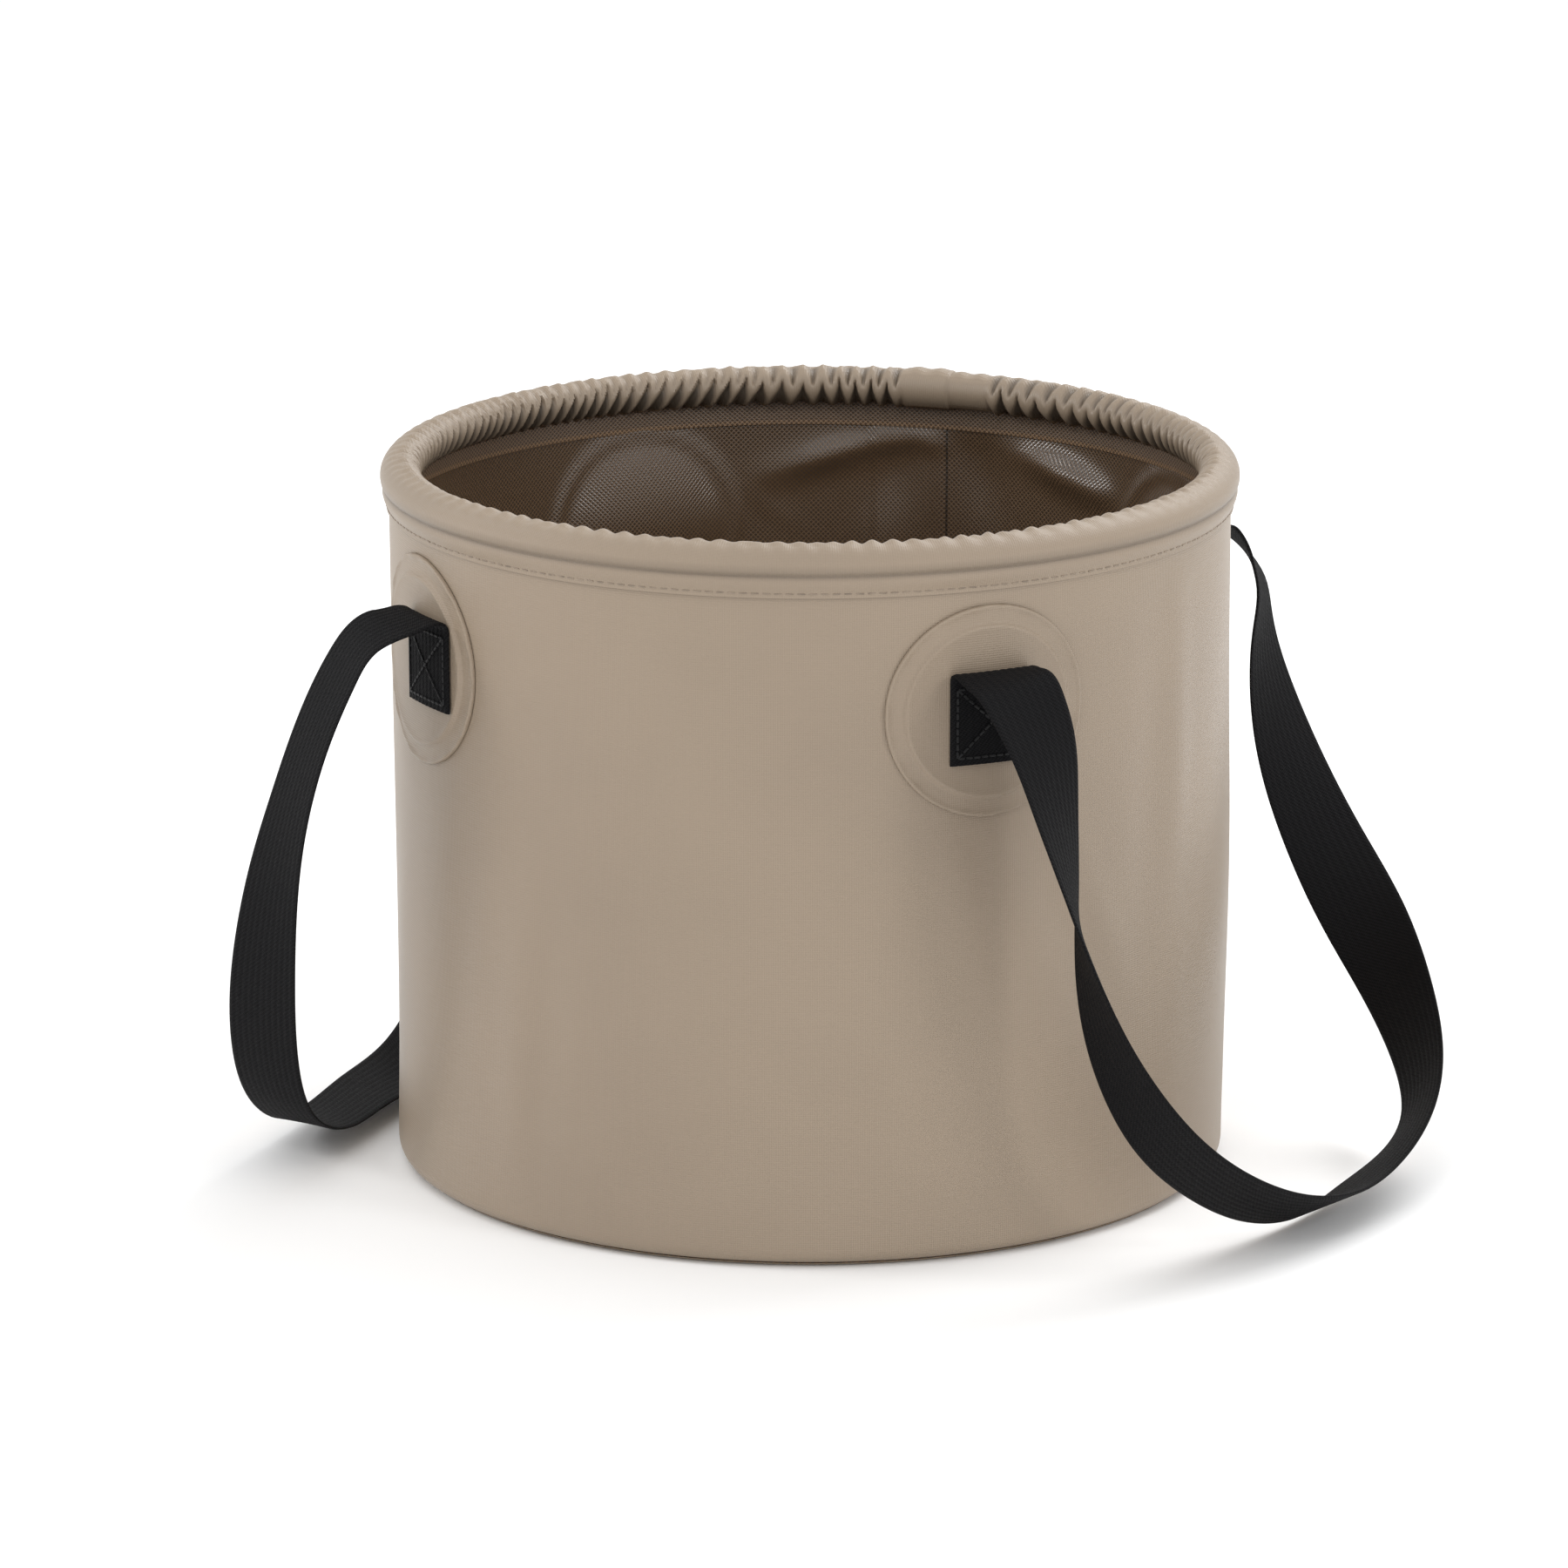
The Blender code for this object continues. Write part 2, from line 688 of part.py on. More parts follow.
def hang_on(pivot_name, location, pieces, collection):
    """Put an empty on a joint's axis and parent the pieces that move there, as they lie."""
    pivot = bpy.data.objects.new(pivot_name, None)
    pivot.empty_display_size = webbing_width
    pivot.location = location
    collection.objects.link(pivot)
    bpy.context.view_layer.update()
    for piece in pieces:
        piece.parent = pivot
        piece.matrix_parent_inverse = pivot.matrix_world.inverted()


def add_pivots(collection):
    """The rim slides down the bucket's axis, and each strap turns on a line along Y at its folds."""
    pivot_distance = fold_radius(low_fold_height) - pivot_inset
    for side_name, side in (("right", 1), ("left", -1)):
        strap = [
            piece
            for piece in collection.objects
            if piece.name.endswith((f"{side_name}_strap_loop", f"{side_name}_strap_bend"))
        ]
        location = (side * pivot_distance, 0, low_fold_height + pivot_rise)
        hang_on(f"{side_name}_strap_pivot", location, strap, collection)
    fixed = ("base_panel", "wall_panel")
    carried = [piece for piece in collection.objects if not piece.parent and piece.name not in fixed]
    hang_on("rim_slide", (0, 0, roll_centre_height), carried, collection)


def main():
    for item in list(bpy.data.objects):
        bpy.data.objects.remove(item)
    collection = bpy.data.collections.new("collapsible_camp_bucket")
    cutters = bpy.data.collections.new("cutters")
    for group in (collection, cutters):
        bpy.context.scene.collection.children.link(group)
    materials = {
        "wall": finish("tan_coated_fabric_wall", 165, 150, 133, 0.45),
        "cover": finish("tan_coated_fabric_cover", 168, 153, 136, 0.42),
        "base": finish("tan_coated_fabric_base", 160, 145, 128, 0.50),
        "patch": finish("tan_patch", 165, 150, 133, 0.45),
        "backing": finish("backing_sheet", 90, 76, 64, 0.60),
        "hoop": finish("hoop_tube", 40, 40, 42, 0.40),
        "joiner": finish("joiner_plug", 60, 60, 62, 0.40),
        "thread": finish("seam_thread", 120, 108, 95, 0.80),
        "tab": finish("black_webbing_tab", 24, 23, 24, 0.80),
        "stitch": finish("black_stitching", 34, 33, 34, 0.80),
        "bend": finish("black_webbing_bend", 24, 23, 24, 0.80),
        "loop": finish("black_webbing_loop", 24, 23, 24, 0.80),
    }
    build_rim(collection, materials)
    build_wall(collection, cutters, materials)
    build_patches(collection, materials)
    build_straps(collection, materials)
    add_pivots(collection)


main()
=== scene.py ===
"""Looks of the collapsible camp bucket, laid out as a Blender add-on and run as a script.

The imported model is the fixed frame. Every piece here is in its place, in metres, with +Z up
and the front at -Y. Soft solids of the model are replaced by pieces with pleats, ribs, seams
and weave, and the plastic ones inside the rim and the patches keep their shape. The wall is
drawn as two pieces, because its top goes down with the rim and the rest of it folds up.
"""

import math
from contextlib import contextmanager

import bpy
import numpy as np
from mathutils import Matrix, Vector


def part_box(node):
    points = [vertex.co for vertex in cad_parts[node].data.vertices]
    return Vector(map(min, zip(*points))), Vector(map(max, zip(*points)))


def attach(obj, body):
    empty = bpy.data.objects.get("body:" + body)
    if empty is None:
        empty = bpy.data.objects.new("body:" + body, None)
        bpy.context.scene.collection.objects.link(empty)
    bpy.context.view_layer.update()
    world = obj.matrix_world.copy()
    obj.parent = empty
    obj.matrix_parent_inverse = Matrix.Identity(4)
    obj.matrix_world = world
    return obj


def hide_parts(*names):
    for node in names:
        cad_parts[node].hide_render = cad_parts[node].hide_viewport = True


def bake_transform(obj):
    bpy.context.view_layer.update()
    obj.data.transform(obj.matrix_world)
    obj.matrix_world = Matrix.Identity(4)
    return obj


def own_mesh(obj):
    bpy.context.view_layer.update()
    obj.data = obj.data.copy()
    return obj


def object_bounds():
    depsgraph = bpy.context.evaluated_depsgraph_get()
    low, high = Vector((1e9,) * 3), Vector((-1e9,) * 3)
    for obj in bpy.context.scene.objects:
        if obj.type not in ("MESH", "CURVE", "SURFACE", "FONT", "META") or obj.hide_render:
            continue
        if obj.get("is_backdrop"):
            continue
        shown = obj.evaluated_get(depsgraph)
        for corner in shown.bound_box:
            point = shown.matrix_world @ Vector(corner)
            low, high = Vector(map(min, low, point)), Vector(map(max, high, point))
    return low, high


bl_info = {
    "name": "Collapsible camp bucket",
    "version": (1, 0, 0),
    "blender": (4, 5, 0),
    "location": "3D View > Sidebar > Camp bucket",
    "description": "Builds the looks of a collapsible camp bucket around its solid model",
    "category": "Object",
}

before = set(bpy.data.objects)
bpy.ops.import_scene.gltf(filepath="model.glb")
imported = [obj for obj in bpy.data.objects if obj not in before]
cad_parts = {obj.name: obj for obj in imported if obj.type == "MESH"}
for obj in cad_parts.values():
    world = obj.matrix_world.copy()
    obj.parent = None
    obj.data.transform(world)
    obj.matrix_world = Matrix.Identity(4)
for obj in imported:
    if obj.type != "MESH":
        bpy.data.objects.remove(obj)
cad_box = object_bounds()

# Heights and radii that the solid model gives
rim_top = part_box("rim_cover")[1].z
rim_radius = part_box("rim_cover")[1].x
wall_top_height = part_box("wall_panel")[1].z

mm = 0.001

# Sizes shared with the solid model, in metres
fit_gap = 0.0003
roll_radius = 0.0067
wall_thickness = 0.0007
wall_top_radius = 0.1470
wall_foot_radius = 0.1462
corner_radius = 0.0050
corner_height = 0.0061
hem_height = 0.0011
weld_width = 0.0102
flange_thickness = 0.0006
outer_flange_bottom = 0.2346
inner_flange_bottom = 0.2300
patch_centre_height = 0.1930
patch_radius = 0.0365
patch_thickness = 0.0008
patch_raise = 0.0010
raised_radius = 0.0290
slope_width = 0.0013
webbing_width = 0.0300
webbing_thickness = 0.0014
tab_height = 0.0290
low_fold_height = 0.2045
high_fold_height = 0.2080
bend_length = 0.0360

tab_face = fit_gap + patch_raise + patch_thickness + fit_gap
roll_centre_radius = rim_radius - roll_radius
roll_centre_height = rim_top - roll_radius
foot_centre = wall_foot_radius - corner_radius

# Bearings of each corner's patch and tab, in degrees from +X, and the height of its fold
corners = {
    "front_right": (-46.0, -46.0, low_fold_height),
    "rear_right": (46.0, 46.0, high_fold_height),
    "rear_left": (135.0, 131.0, high_fold_height),
    "front_left": (225.0, 229.0, high_fold_height),
}
lap_bearing = 90.0
lap_bottom = 0.012

# Route of each strap, as in the solid model. Each row: share of strap_reach outwards, share of
# the fold's distance from the middle plane, share of the fold line's height for the lower
# edge, then the heading and the tilt of the webbing's width, in degrees.
strap_reach = 0.106
fold_rise = 0.0030
fold_reach = 0.0135
fold_shares = ((0.03, 0.55, 0.0), (0.22, 1.00, 0.12), (0.60, 0.83, 0.55))
right_route_shares = (
    (0.109, -1.093, 0.993, 49, 8),
    (0.158, -1.120, 0.965, 54, 8),
    (0.207, -1.135, 0.919, 62, 6),
    (0.264, -1.140, 0.812, 80, 2),
    (0.320, -1.130, 0.659, 103, -2),
    (0.372, -1.112, 0.506, 126, -6),
    (0.460, -1.074, 0.351, 145, -12),
    (0.583, -0.991, 0.216, 158, -19),
    (0.706, -0.815, 0.114, 164, -23),
    (0.828, -0.584, 0.040, 167, -27),
    (0.923, -0.324, 0.010, 168, -28),
    (0.979, -0.037, 0.018, 167, -29),
    (1.017, 0.250, 0.034, 160, -41),
    (0.998, 0.519, 0.075, 155, -52),
    (0.885, 0.741, 0.158, 165, -49),
    (0.725, 0.917, 0.261, 187, -38),
    (0.547, 1.038, 0.390, 216, -20),
    (0.385, 1.103, 0.538, 236, -9),
    (0.281, 1.130, 0.677, 254, -4),
    (0.232, 1.127, 0.837, 275, 1),
    (0.222, 1.129, 0.904, 284, 3),
    (0.181, 1.125, 0.945, 292, 6),
    (0.131, 1.106, 0.979, 302, 8),
    (0.078, 1.076, 1.003, 311, 6),
)
left_route_shares = (
    (0.089, -1.094, 1.000, 45, 5),
    (0.146, -1.125, 0.984, 49, 6),
    (0.226, -1.148, 0.927, 49, 7),
    (0.328, -1.160, 0.816, 46, 5),
    (0.433, -1.152, 0.655, 41, 5),
    (0.503, -1.122, 0.516, 31, 9),
    (0.556, -1.078, 0.373, 20, 12),
    (0.602, -0.989, 0.233, 13, 14),
    (0.624, -0.848, 0.112, 9, 12),
    (0.620, -0.610, 0.047, 3, 2),
    (0.619, -0.335, 0.029, 0, -4),
    (0.619, -0.062, 0.028, 0, 3),
    (0.619, 0.212, 0.008, 1, 13),
    (0.620, 0.459, 0.036, 0, 14),
    (0.624, 0.706, 0.123, -6, 14),
    (0.602, 0.893, 0.242, -13, 14),
    (0.556, 1.016, 0.386, -20, 12),
    (0.484, 1.086, 0.532, -31, 9),
    (0.433, 1.152, 0.655, -41, 5),
    (0.328, 1.160, 0.816, -46, 5),
    (0.226, 1.148, 0.927, -49, 7),
    (0.146, 1.125, 0.984, -49, 6),
    (0.089, 1.094, 1.000, -45, 5),
)


def length_property(name, default, description):
    return bpy.props.FloatProperty(
        name=name, description=description, default=default, unit="LENGTH"
    )


def colour_property(name, default, description):
    return bpy.props.FloatVectorProperty(
        name=name, description=description, default=default, subtype="COLOR", min=0, max=1
    )


class BucketSizes(bpy.types.PropertyGroup):
    """Sizes of the details that a user would change."""

    pleat_depth: length_property("Pleat depth", 0.0024, "How deep the rim's pleats are")
    pleat_pitch: length_property("Pleat pitch", 0.0062, "From one pleat of the rim to the next")
    stitch_pitch: length_property("Stitch pitch", 0.0039, "From one stitch of the rim to the next")
    weave_pitch: length_property("Weave pitch", 0.0011, "From one thread of the fabric to the next")
    wall_wave: length_property("Wall wave", 0.0015, "Height of the soft waves in the wall")


class BucketColours(bpy.types.PropertyGroup):
    """Colours of the finishes that a user would change."""

    outside: colour_property("Outside", (0.302, 0.235, 0.171), "Coated fabric, outside")
    inside: colour_property("Inside", (0.060, 0.0375, 0.0215), "Coated fabric, inside")
    webbing: colour_property("Webbing", (0.0030, 0.0029, 0.0032), "The straps")
    thread: colour_property("Seam thread", (0.25, 0.198, 0.150), "The thread under the rim")
    plastic: colour_property("Plastic", (0.018, 0.018, 0.020), "The hoop and its joiner")
    paper: colour_property("Floor", (0.99, 0.99, 0.99), "The studio floor")


def sizes():
    return bpy.context.scene.bucket_sizes


def colours():
    return bpy.context.scene.bucket_colours


# Modelling


def deselect():
    if bpy.context.object and bpy.context.object.mode != "OBJECT":
        bpy.ops.object.mode_set(mode="OBJECT")
    bpy.ops.object.select_all(action="DESELECT")


def select_only(piece):
    deselect()
    piece.select_set(True)
    bpy.context.view_layer.objects.active = piece


@contextmanager
def editing(piece, action="SELECT"):
    """Edit mode on one piece, with all of its mesh selected or, by DESELECT, none of it."""
    select_only(piece)
    bpy.ops.object.mode_set(mode="EDIT")
    bpy.ops.mesh.select_all(action=action)
    yield
    bpy.ops.object.mode_set(mode="OBJECT")


def apply_place():
    bpy.ops.object.transform_apply(location=True, rotation=True, scale=True)


def sleeve(name, profile, around, closed=False, filled=False):
    """Rings of points on a profile of (radius, height), each drawn out of the one before it."""
    deselect()
    (radius, height), rest = profile[0], profile[1:]
    bpy.ops.mesh.primitive_circle_add(vertices=around, radius=radius, location=(0, 0, height))
    piece = bpy.context.object
    piece.name = piece.data.name = name
    least_change = 1e-9
    with editing(piece):
        for new_radius, new_height in rest:
            step = {"value": (0, 0, new_height - height)}
            bpy.ops.mesh.extrude_region_move(TRANSFORM_OT_translate=step)
            factor = new_radius / radius
            if abs(factor - 1) > least_change:
                centre = (0, 0, new_height)
                bpy.ops.transform.resize(value=(factor, factor, 1), center_override=centre)
            radius, height = new_radius, new_height
        if filled:
            bpy.ops.mesh.edge_face_add()
            bpy.ops.mesh.select_all(action="DESELECT")
            bpy.ops.mesh.select_non_manifold()
            bpy.ops.mesh.edge_face_add()
        bpy.ops.mesh.select_all(action="SELECT")
        if closed:
            bpy.ops.mesh.remove_doubles(threshold=fit_gap / 30)
        bpy.ops.mesh.normals_make_consistent(inside=False)
    apply_place()
    return piece


def offsets(radius, height, *steps):
    """Profile points beside a place, by steps outwards and upwards in millimetres."""
    return [(radius + out * mm, height + up * mm) for out, up in steps]


def read_field(items, field, width=3, kind=float):
    """A field of a mesh's points, faces or face corners, as an array."""
    values = np.zeros(len(items) * width, dtype=kind)
    items.foreach_get(field, values)
    return values.reshape(-1, width) if width > 1 else values


def points_of(piece):
    return read_field(piece.data.vertices, "co")


def move_points(piece, places):
    piece.data.vertices.foreach_set("co", np.asarray(places, dtype=np.float32).ravel())
    piece.data.update()


def face_middles(piece):
    return read_field(piece.data.polygons, "center")


def around_axis(places):
    """Radius and bearing of places, round the bucket's axis."""
    return np.hypot(places[:, 0], places[:, 1]), np.arctan2(places[:, 1], places[:, 0])


def set_slots(piece, materials, chosen=None):
    """Give a piece its materials, and each face the number of its own, or the first to all."""
    for material in materials:
        piece.data.materials.append(material)
    if chosen is not None:
        numbers = np.asarray(chosen, dtype=np.int32)
        piece.data.polygons.foreach_set("material_index", numbers)


def write_cloth_map(piece, values):
    """A UV map named cloth, in metres along the fabric's two thread directions."""
    layers = piece.data.uv_layers
    while layers:
        layers.remove(layers[0])
    layer = layers.new(name="cloth")
    layer.data.foreach_set("uv", np.asarray(values, dtype=np.float32).ravel())


def corner_arrays(piece):
    """The vertex of each face corner, and the face of each."""
    vertex = read_field(piece.data.loops, "vertex_index", 1, np.int64)
    totals = read_field(piece.data.polygons, "loop_total", 1, np.int64)
    return vertex, np.repeat(np.arange(len(totals)), totals)


def write_shade(piece, values):
    """An attribute named fold_shade: how much painted shade each point of a piece gets in its folds
    and creases, 0 to 1.
    """
    attribute = piece.data.attributes.new("fold_shade", "FLOAT", "POINT")
    attribute.data.foreach_set("value", np.asarray(values, dtype=np.float32))


def map_around(piece, reference_radius, up_values):
    """A cloth map from the bearing round the bucket, and a given value of each vertex."""
    vertex, face = corner_arrays(piece)
    bearing = around_axis(points_of(piece))[1][vertex]
    centre = around_axis(face_middles(piece))[1][face]
    turn = (bearing - centre + math.pi) % math.tau - math.pi + centre
    run = turn * reference_radius
    write_cloth_map(piece, np.stack((run, np.asarray(up_values)[vertex]), axis=1))


def smooth(piece, angle=math.radians(50)):
    select_only(piece)
    bpy.ops.object.shade_smooth_by_angle(angle=angle)
    deselect()


def bell(values, centre, width):
    return np.exp(-(((np.asarray(values) - centre) / width) ** 2))


def fade(values, start, end):
    """0 before start, 1 after end, smooth between them, either way round."""
    share = np.clip((np.asarray(values) - start) / (end - start), 0, 1)
    return share * share * (3 - 2 * share)


def bearing_gap(bearings, centre_degrees):
    """How far bearings are from a centre, in degrees, with sign."""
    return (np.degrees(bearings) - centre_degrees + 180) % 360 - 180


# Materials


def socket_or_value(tree, node, name, value):
    if isinstance(value, bpy.types.NodeSocket):
        tree.links.new(value, node.inputs[name])
    else:
        node.inputs[name].default_value = value


def add(tree, kind, inputs=None, **settings):
    node = tree.nodes.new(kind)
    for key, value in settings.items():
        setattr(node, key, value)
    for name, value in (inputs or {}).items():
        socket_or_value(tree, node, name, value)
    return node


def maths(tree, operation, first, second=0.0, clamp=False):
    node = add(tree, "ShaderNodeMath", {0: first, 1: second}, operation=operation, use_clamp=clamp)
    return node.outputs[0]


def ripple(tree, coordinates, direction, pitch):
    """A wave from -1 to 1 across the coordinates, with a given pitch."""
    vector = Vector(direction).normalized() * (math.tau / pitch)
    dot = add(tree, "ShaderNodeVectorMath", {0: coordinates, 1: vector}, operation="DOT_PRODUCT")
    return maths(tree, "SINE", dot.outputs["Value"])


def cloud(tree, coordinates, scale, detail=3.0, roughness=0.5):
    node = add(
        tree,
        "ShaderNodeTexNoise",
        {"Vector": coordinates, "Scale": scale, "Detail": detail, "Roughness": roughness},
    )
    return node.outputs["Fac"]


def spread(tree, value, low, high, out_low, out_high):
    node = add(
        tree,
        "ShaderNodeMapRange",
        {"Value": value, "From Min": low, "From Max": high, "To Min": out_low, "To Max": out_high},
    )
    return node.outputs["Result"]


def blended(tree, factor, first, second):
    node = add(tree, "ShaderNodeMix", {0: factor}, data_type="RGBA")
    socket_or_value(tree, node, 6, first)
    socket_or_value(tree, node, 7, second)
    return node.outputs[2]


def shade(colour, factor):
    return (*[min(1.0, channel * factor) for channel in colour], 1.0)


def bumped(tree, height, strength, distance, below=None):
    inputs = {"Height": height, "Strength": strength, "Distance": distance}
    if below is not None:
        inputs["Normal"] = below
    return add(tree, "ShaderNodeBump", inputs).outputs["Normal"]


def two_tone(tree, pattern, colour, low, high, dark, light):
    """A colour that goes from a darker to a lighter one where a pattern goes from low to high."""
    share = spread(tree, pattern, low, high, 0.0, 1.0)
    return blended(tree, share, shade(colour, dark), shade(colour, light))


def start_material(name, roughness, specular=0.5):
    material = bpy.data.materials.new(name)
    material.use_nodes = True
    tree = material.node_tree
    shader = tree.nodes["Principled BSDF"]
    shader.inputs["Roughness"].default_value = roughness
    shader.inputs["Specular IOR Level"].default_value = specular
    coordinates = add(tree, "ShaderNodeTexCoord").outputs
    return material, tree, shader, coordinates["UV"], coordinates["Object"]


def dress(tree, shader, colour, roughness=None, normal=None):
    """Link a colour, and where given a roughness and a normal, to a material's shader."""
    for name, value in (("Base Color", colour), ("Roughness", roughness), ("Normal", normal)):
        if value is not None:
            tree.links.new(value, shader.inputs[name])


def diagonals(tree, cloth, pitch):
    """The two slanting thread directions of a weave, each as a wave."""
    return ripple(tree, cloth, (1, 1, 0), pitch), ripple(tree, cloth, (1, -1, 0), pitch)


def coated_outside(name="coated_fabric_outside", weave_share=1.0, paints_fold_shade=False):
    """Tan coating, matte, over a fine weave, with faint clouds of tone, and where asked painted
    shade deep in folds and creases.
    """
    material, tree, shader, cloth, place = start_material(name, roughness=0.44)
    tan = colours().outside
    weave = maths(tree, "MULTIPLY", *diagonals(tree, cloth, sizes().weave_pitch))
    tone = cloud(tree, place, scale=9.0, detail=4.0)
    grain = cloud(tree, place, scale=900.0, detail=2.0)
    base = two_tone(tree, tone, tan, low=0.35, high=0.65, dark=0.955, light=1.045)
    speck = spread(tree, weave, -1.0, 1.0, 0.0, 0.11)
    colour = blended(tree, speck, base, shade(tan, 0.55))
    if paints_fold_shade:
        # Painted shade: the fold_shade attribute darkens the colour towards a near black tan in the
        # pleat hollows and along the crease under the roll.
        depth = add(tree, "ShaderNodeAttribute", attribute_name="fold_shade").outputs["Fac"]
        hidden = spread(tree, depth, 0.12, 0.75, 0.0, 0.9)
        colour = blended(tree, hidden, colour, shade(tan, 0.16))
    roughness = spread(tree, tone, 0.3, 0.7, 0.38, 0.46)
    fine = bumped(tree, grain, strength=0.18, distance=0.0002)
    normal = bumped(tree, weave, strength=0.5 * weave_share, distance=0.0001, below=fine)
    dress(tree, shader, colour, roughness, normal)
    return material


def lap_seam(tree, place):
    """1 on the thin dark edge of the lap, inside at the back between base and rim band, else 0."""
    along = add(tree, "ShaderNodeSeparateXYZ", {"Vector": place}).outputs
    half_width, least_depth = 0.0004, 0.1
    middle = (inner_flange_bottom + lap_bottom) / 2
    near = maths(tree, "LESS_THAN", maths(tree, "ABSOLUTE", along["X"]), half_width)
    behind = maths(tree, "GREATER_THAN", along["Y"], least_depth)
    rise = maths(tree, "ABSOLUTE", maths(tree, "SUBTRACT", along["Z"], middle))
    within = maths(tree, "LESS_THAN", rise, inner_flange_bottom - middle)
    return maths(tree, "MULTIPLY", maths(tree, "MULTIPLY", near, behind), within)


def coated_inside(name="coated_fabric_inside", light=1.0, gloss=0.17):
    """Dark brown glossy film, with the grid of threads showing through it, painted lighter than the
    film partly as the threads' own colour and partly as painted highlight.
    """
    material, tree, shader, cloth, place = start_material(name, roughness=0.30, specular=0.72)
    brown = colours().inside
    pitch = sizes().weave_pitch * 1.15 * 2
    lines = [maths(tree, "ABSOLUTE", wave) for wave in diagonals(tree, cloth, pitch)]
    grid = maths(tree, "MINIMUM", *lines)
    tone = cloud(tree, place, scale=14.0, detail=4.0)
    base = two_tone(tree, tone, brown, low=0.3, high=0.7, dark=0.82 * light, light=1.18 * light)
    # The threads are painted lighter: partly their own colour through the film, partly a painted
    # highlight on them that brings out the grid.
    thread = spread(tree, grid, 0.0, 0.5, 0.95, 0.0)
    colour = blended(tree, thread, base, shade(brown, 4.2 * light))
    seam = maths(tree, "MULTIPLY", lap_seam(tree, place), 0.7)
    colour = blended(tree, seam, colour, shade(brown, 0.15))
    roughness = spread(tree, grid, 0.0, 0.6, gloss, gloss + 0.14)
    soft = bumped(tree, tone, strength=0.2, distance=0.002)
    dress(tree, shader, colour, roughness, bumped(tree, grid, 0.6, 0.00018, soft))
    return material


def black_webbing(name="black_webbing"):
    """Ribbed webbing: the ribs are in the mesh, and its cross threads and fuzz are here."""
    material, tree, shader, cloth, place = start_material(name, roughness=0.78, specular=0.10)
    cross = ripple(tree, cloth, (0, 1, 0), pitch=0.0011)
    slant = ripple(tree, cloth, (1.0, 0.45, 0), pitch=0.00136)
    thread = maths(tree, "MULTIPLY", cross, slant)
    fuzz = cloud(tree, place, scale=1500.0, detail=3.0)
    black = colours().webbing
    base = two_tone(tree, thread, black, low=-1.0, high=1.0, dark=0.5, light=3.4)
    roughness = spread(tree, fuzz, 0.3, 0.7, 0.62, 0.82)
    fine = bumped(tree, fuzz, strength=0.3, distance=0.00012)
    normal = bumped(tree, thread, strength=0.55, distance=0.00014, below=fine)
    dress(tree, shader, base, roughness, normal)
    return material


def twisted_thread(name, colour, roughness=0.6):
    """Sewing thread, with the slant of its twist."""
    material, tree, shader, _, place = start_material(name, roughness, specular=0.4)
    twist = ripple(tree, place, (1.0, 0.6, 1.3), pitch=0.00045)
    tone = cloud(tree, place, scale=300.0, detail=2.0)
    base = two_tone(tree, tone, colour, low=0.3, high=0.7, dark=0.8, light=1.25)
    dress(tree, shader, base, normal=bumped(tree, twist, strength=0.5, distance=0.0001))
    return material


def moulded_plastic(name, colour, roughness):
    """Extruded or cut plastic, with fine drawing lines and a soft grain."""
    material, tree, shader, _, place = start_material(name, roughness)
    grain = cloud(tree, place, scale=420.0, detail=3.0)
    stretched = {"Vector": place, "Scale": (60, 60, 2600)}
    lines = add(tree, "ShaderNodeMapping", stretched).outputs["Vector"]
    drawn = cloud(tree, lines, scale=1.0, detail=2.0)
    base = two_tone(tree, grain, colour, low=0.3, high=0.7, dark=0.85, light=1.2)
    rough = spread(tree, drawn, 0.3, 0.7, roughness - 0.08, roughness + 0.08)
    dress(tree, shader, base, rough, bumped(tree, drawn, strength=0.25, distance=0.00008))
    return material


def shared(name, maker, *values):
    """A material by name, made once."""
    return bpy.data.materials.get(name) or maker(name, *values)


# Form of the wall


def wall_radius(height):
    share = (np.asarray(height) - corner_height) / (wall_top_height - corner_height)
    return wall_foot_radius + (wall_top_radius - wall_foot_radius) * share


def from_patches(bearings, heights):
    """For each corner, how far places on the wall lie from the middle of its patch."""
    for corner, (patch_bearing, _, _) in corners.items():
        across = np.radians(bearing_gap(bearings, patch_bearing)) * wall_top_radius
        yield corner, np.hypot(across, np.asarray(heights) - patch_centre_height)


def near_patch(bearings, heights):
    """1 on and close round the patches, 0 away from them."""
    inner, outer = patch_radius * 1.03, patch_radius * 1.45
    near = [1 - fade(away, inner, outer) for _, away in from_patches(bearings, heights)]
    return np.max(near, axis=0)


def crease(bearings, heights, bearing, height, slant, length, width):
    """A soft straight crease: 1 on its line, which leans by slant degrees from upright."""
    across = np.radians(bearing_gap(bearings, bearing)) * wall_top_radius
    up = np.asarray(heights) - height
    lean = math.radians(slant)
    along = up * math.cos(lean) + across * math.sin(lean)
    aside = across * math.cos(lean) - up * math.sin(lean)
    return bell(along, 0, length / 2) * bell(aside, 0, width)


# Each crease: bearing, height, lean, length, width, and its share of the wall wave
wall_creases = (
    (-113, 0.075, 4, 0.110, 0.009, 0.75),
    (-108, 0.070, 4, 0.100, 0.008, -0.55),
    (-125, 0.090, 7, 0.120, 0.010, -0.45),
    (-11, 0.150, 0, 0.160, 0.009, 0.85),
    (-18, 0.140, 3, 0.150, 0.009, -0.55),
    (-33, 0.110, -28, 0.085, 0.008, -0.70),
    (-28, 0.120, -25, 0.080, 0.007, 0.60),
    (-47, 0.115, -16, 0.075, 0.008, 0.50),
    (-62, 0.115, 20, 0.070, 0.008, 0.40),
    (-80, 0.060, 70, 0.150, 0.010, 0.30),
    (-70, 0.040, 78, 0.130, 0.009, -0.30),
    (20, 0.110, 5, 0.120, 0.010, 0.60),
    (68, 0.120, -6, 0.130, 0.010, 0.55),
    (112, 0.110, 8, 0.120, 0.010, -0.60),
    (150, 0.090, -12, 0.100, 0.010, 0.55),
    (180, 0.120, 0, 0.150, 0.011, 0.65),
    (205, 0.070, 10, 0.090, 0.010, -0.50),
)
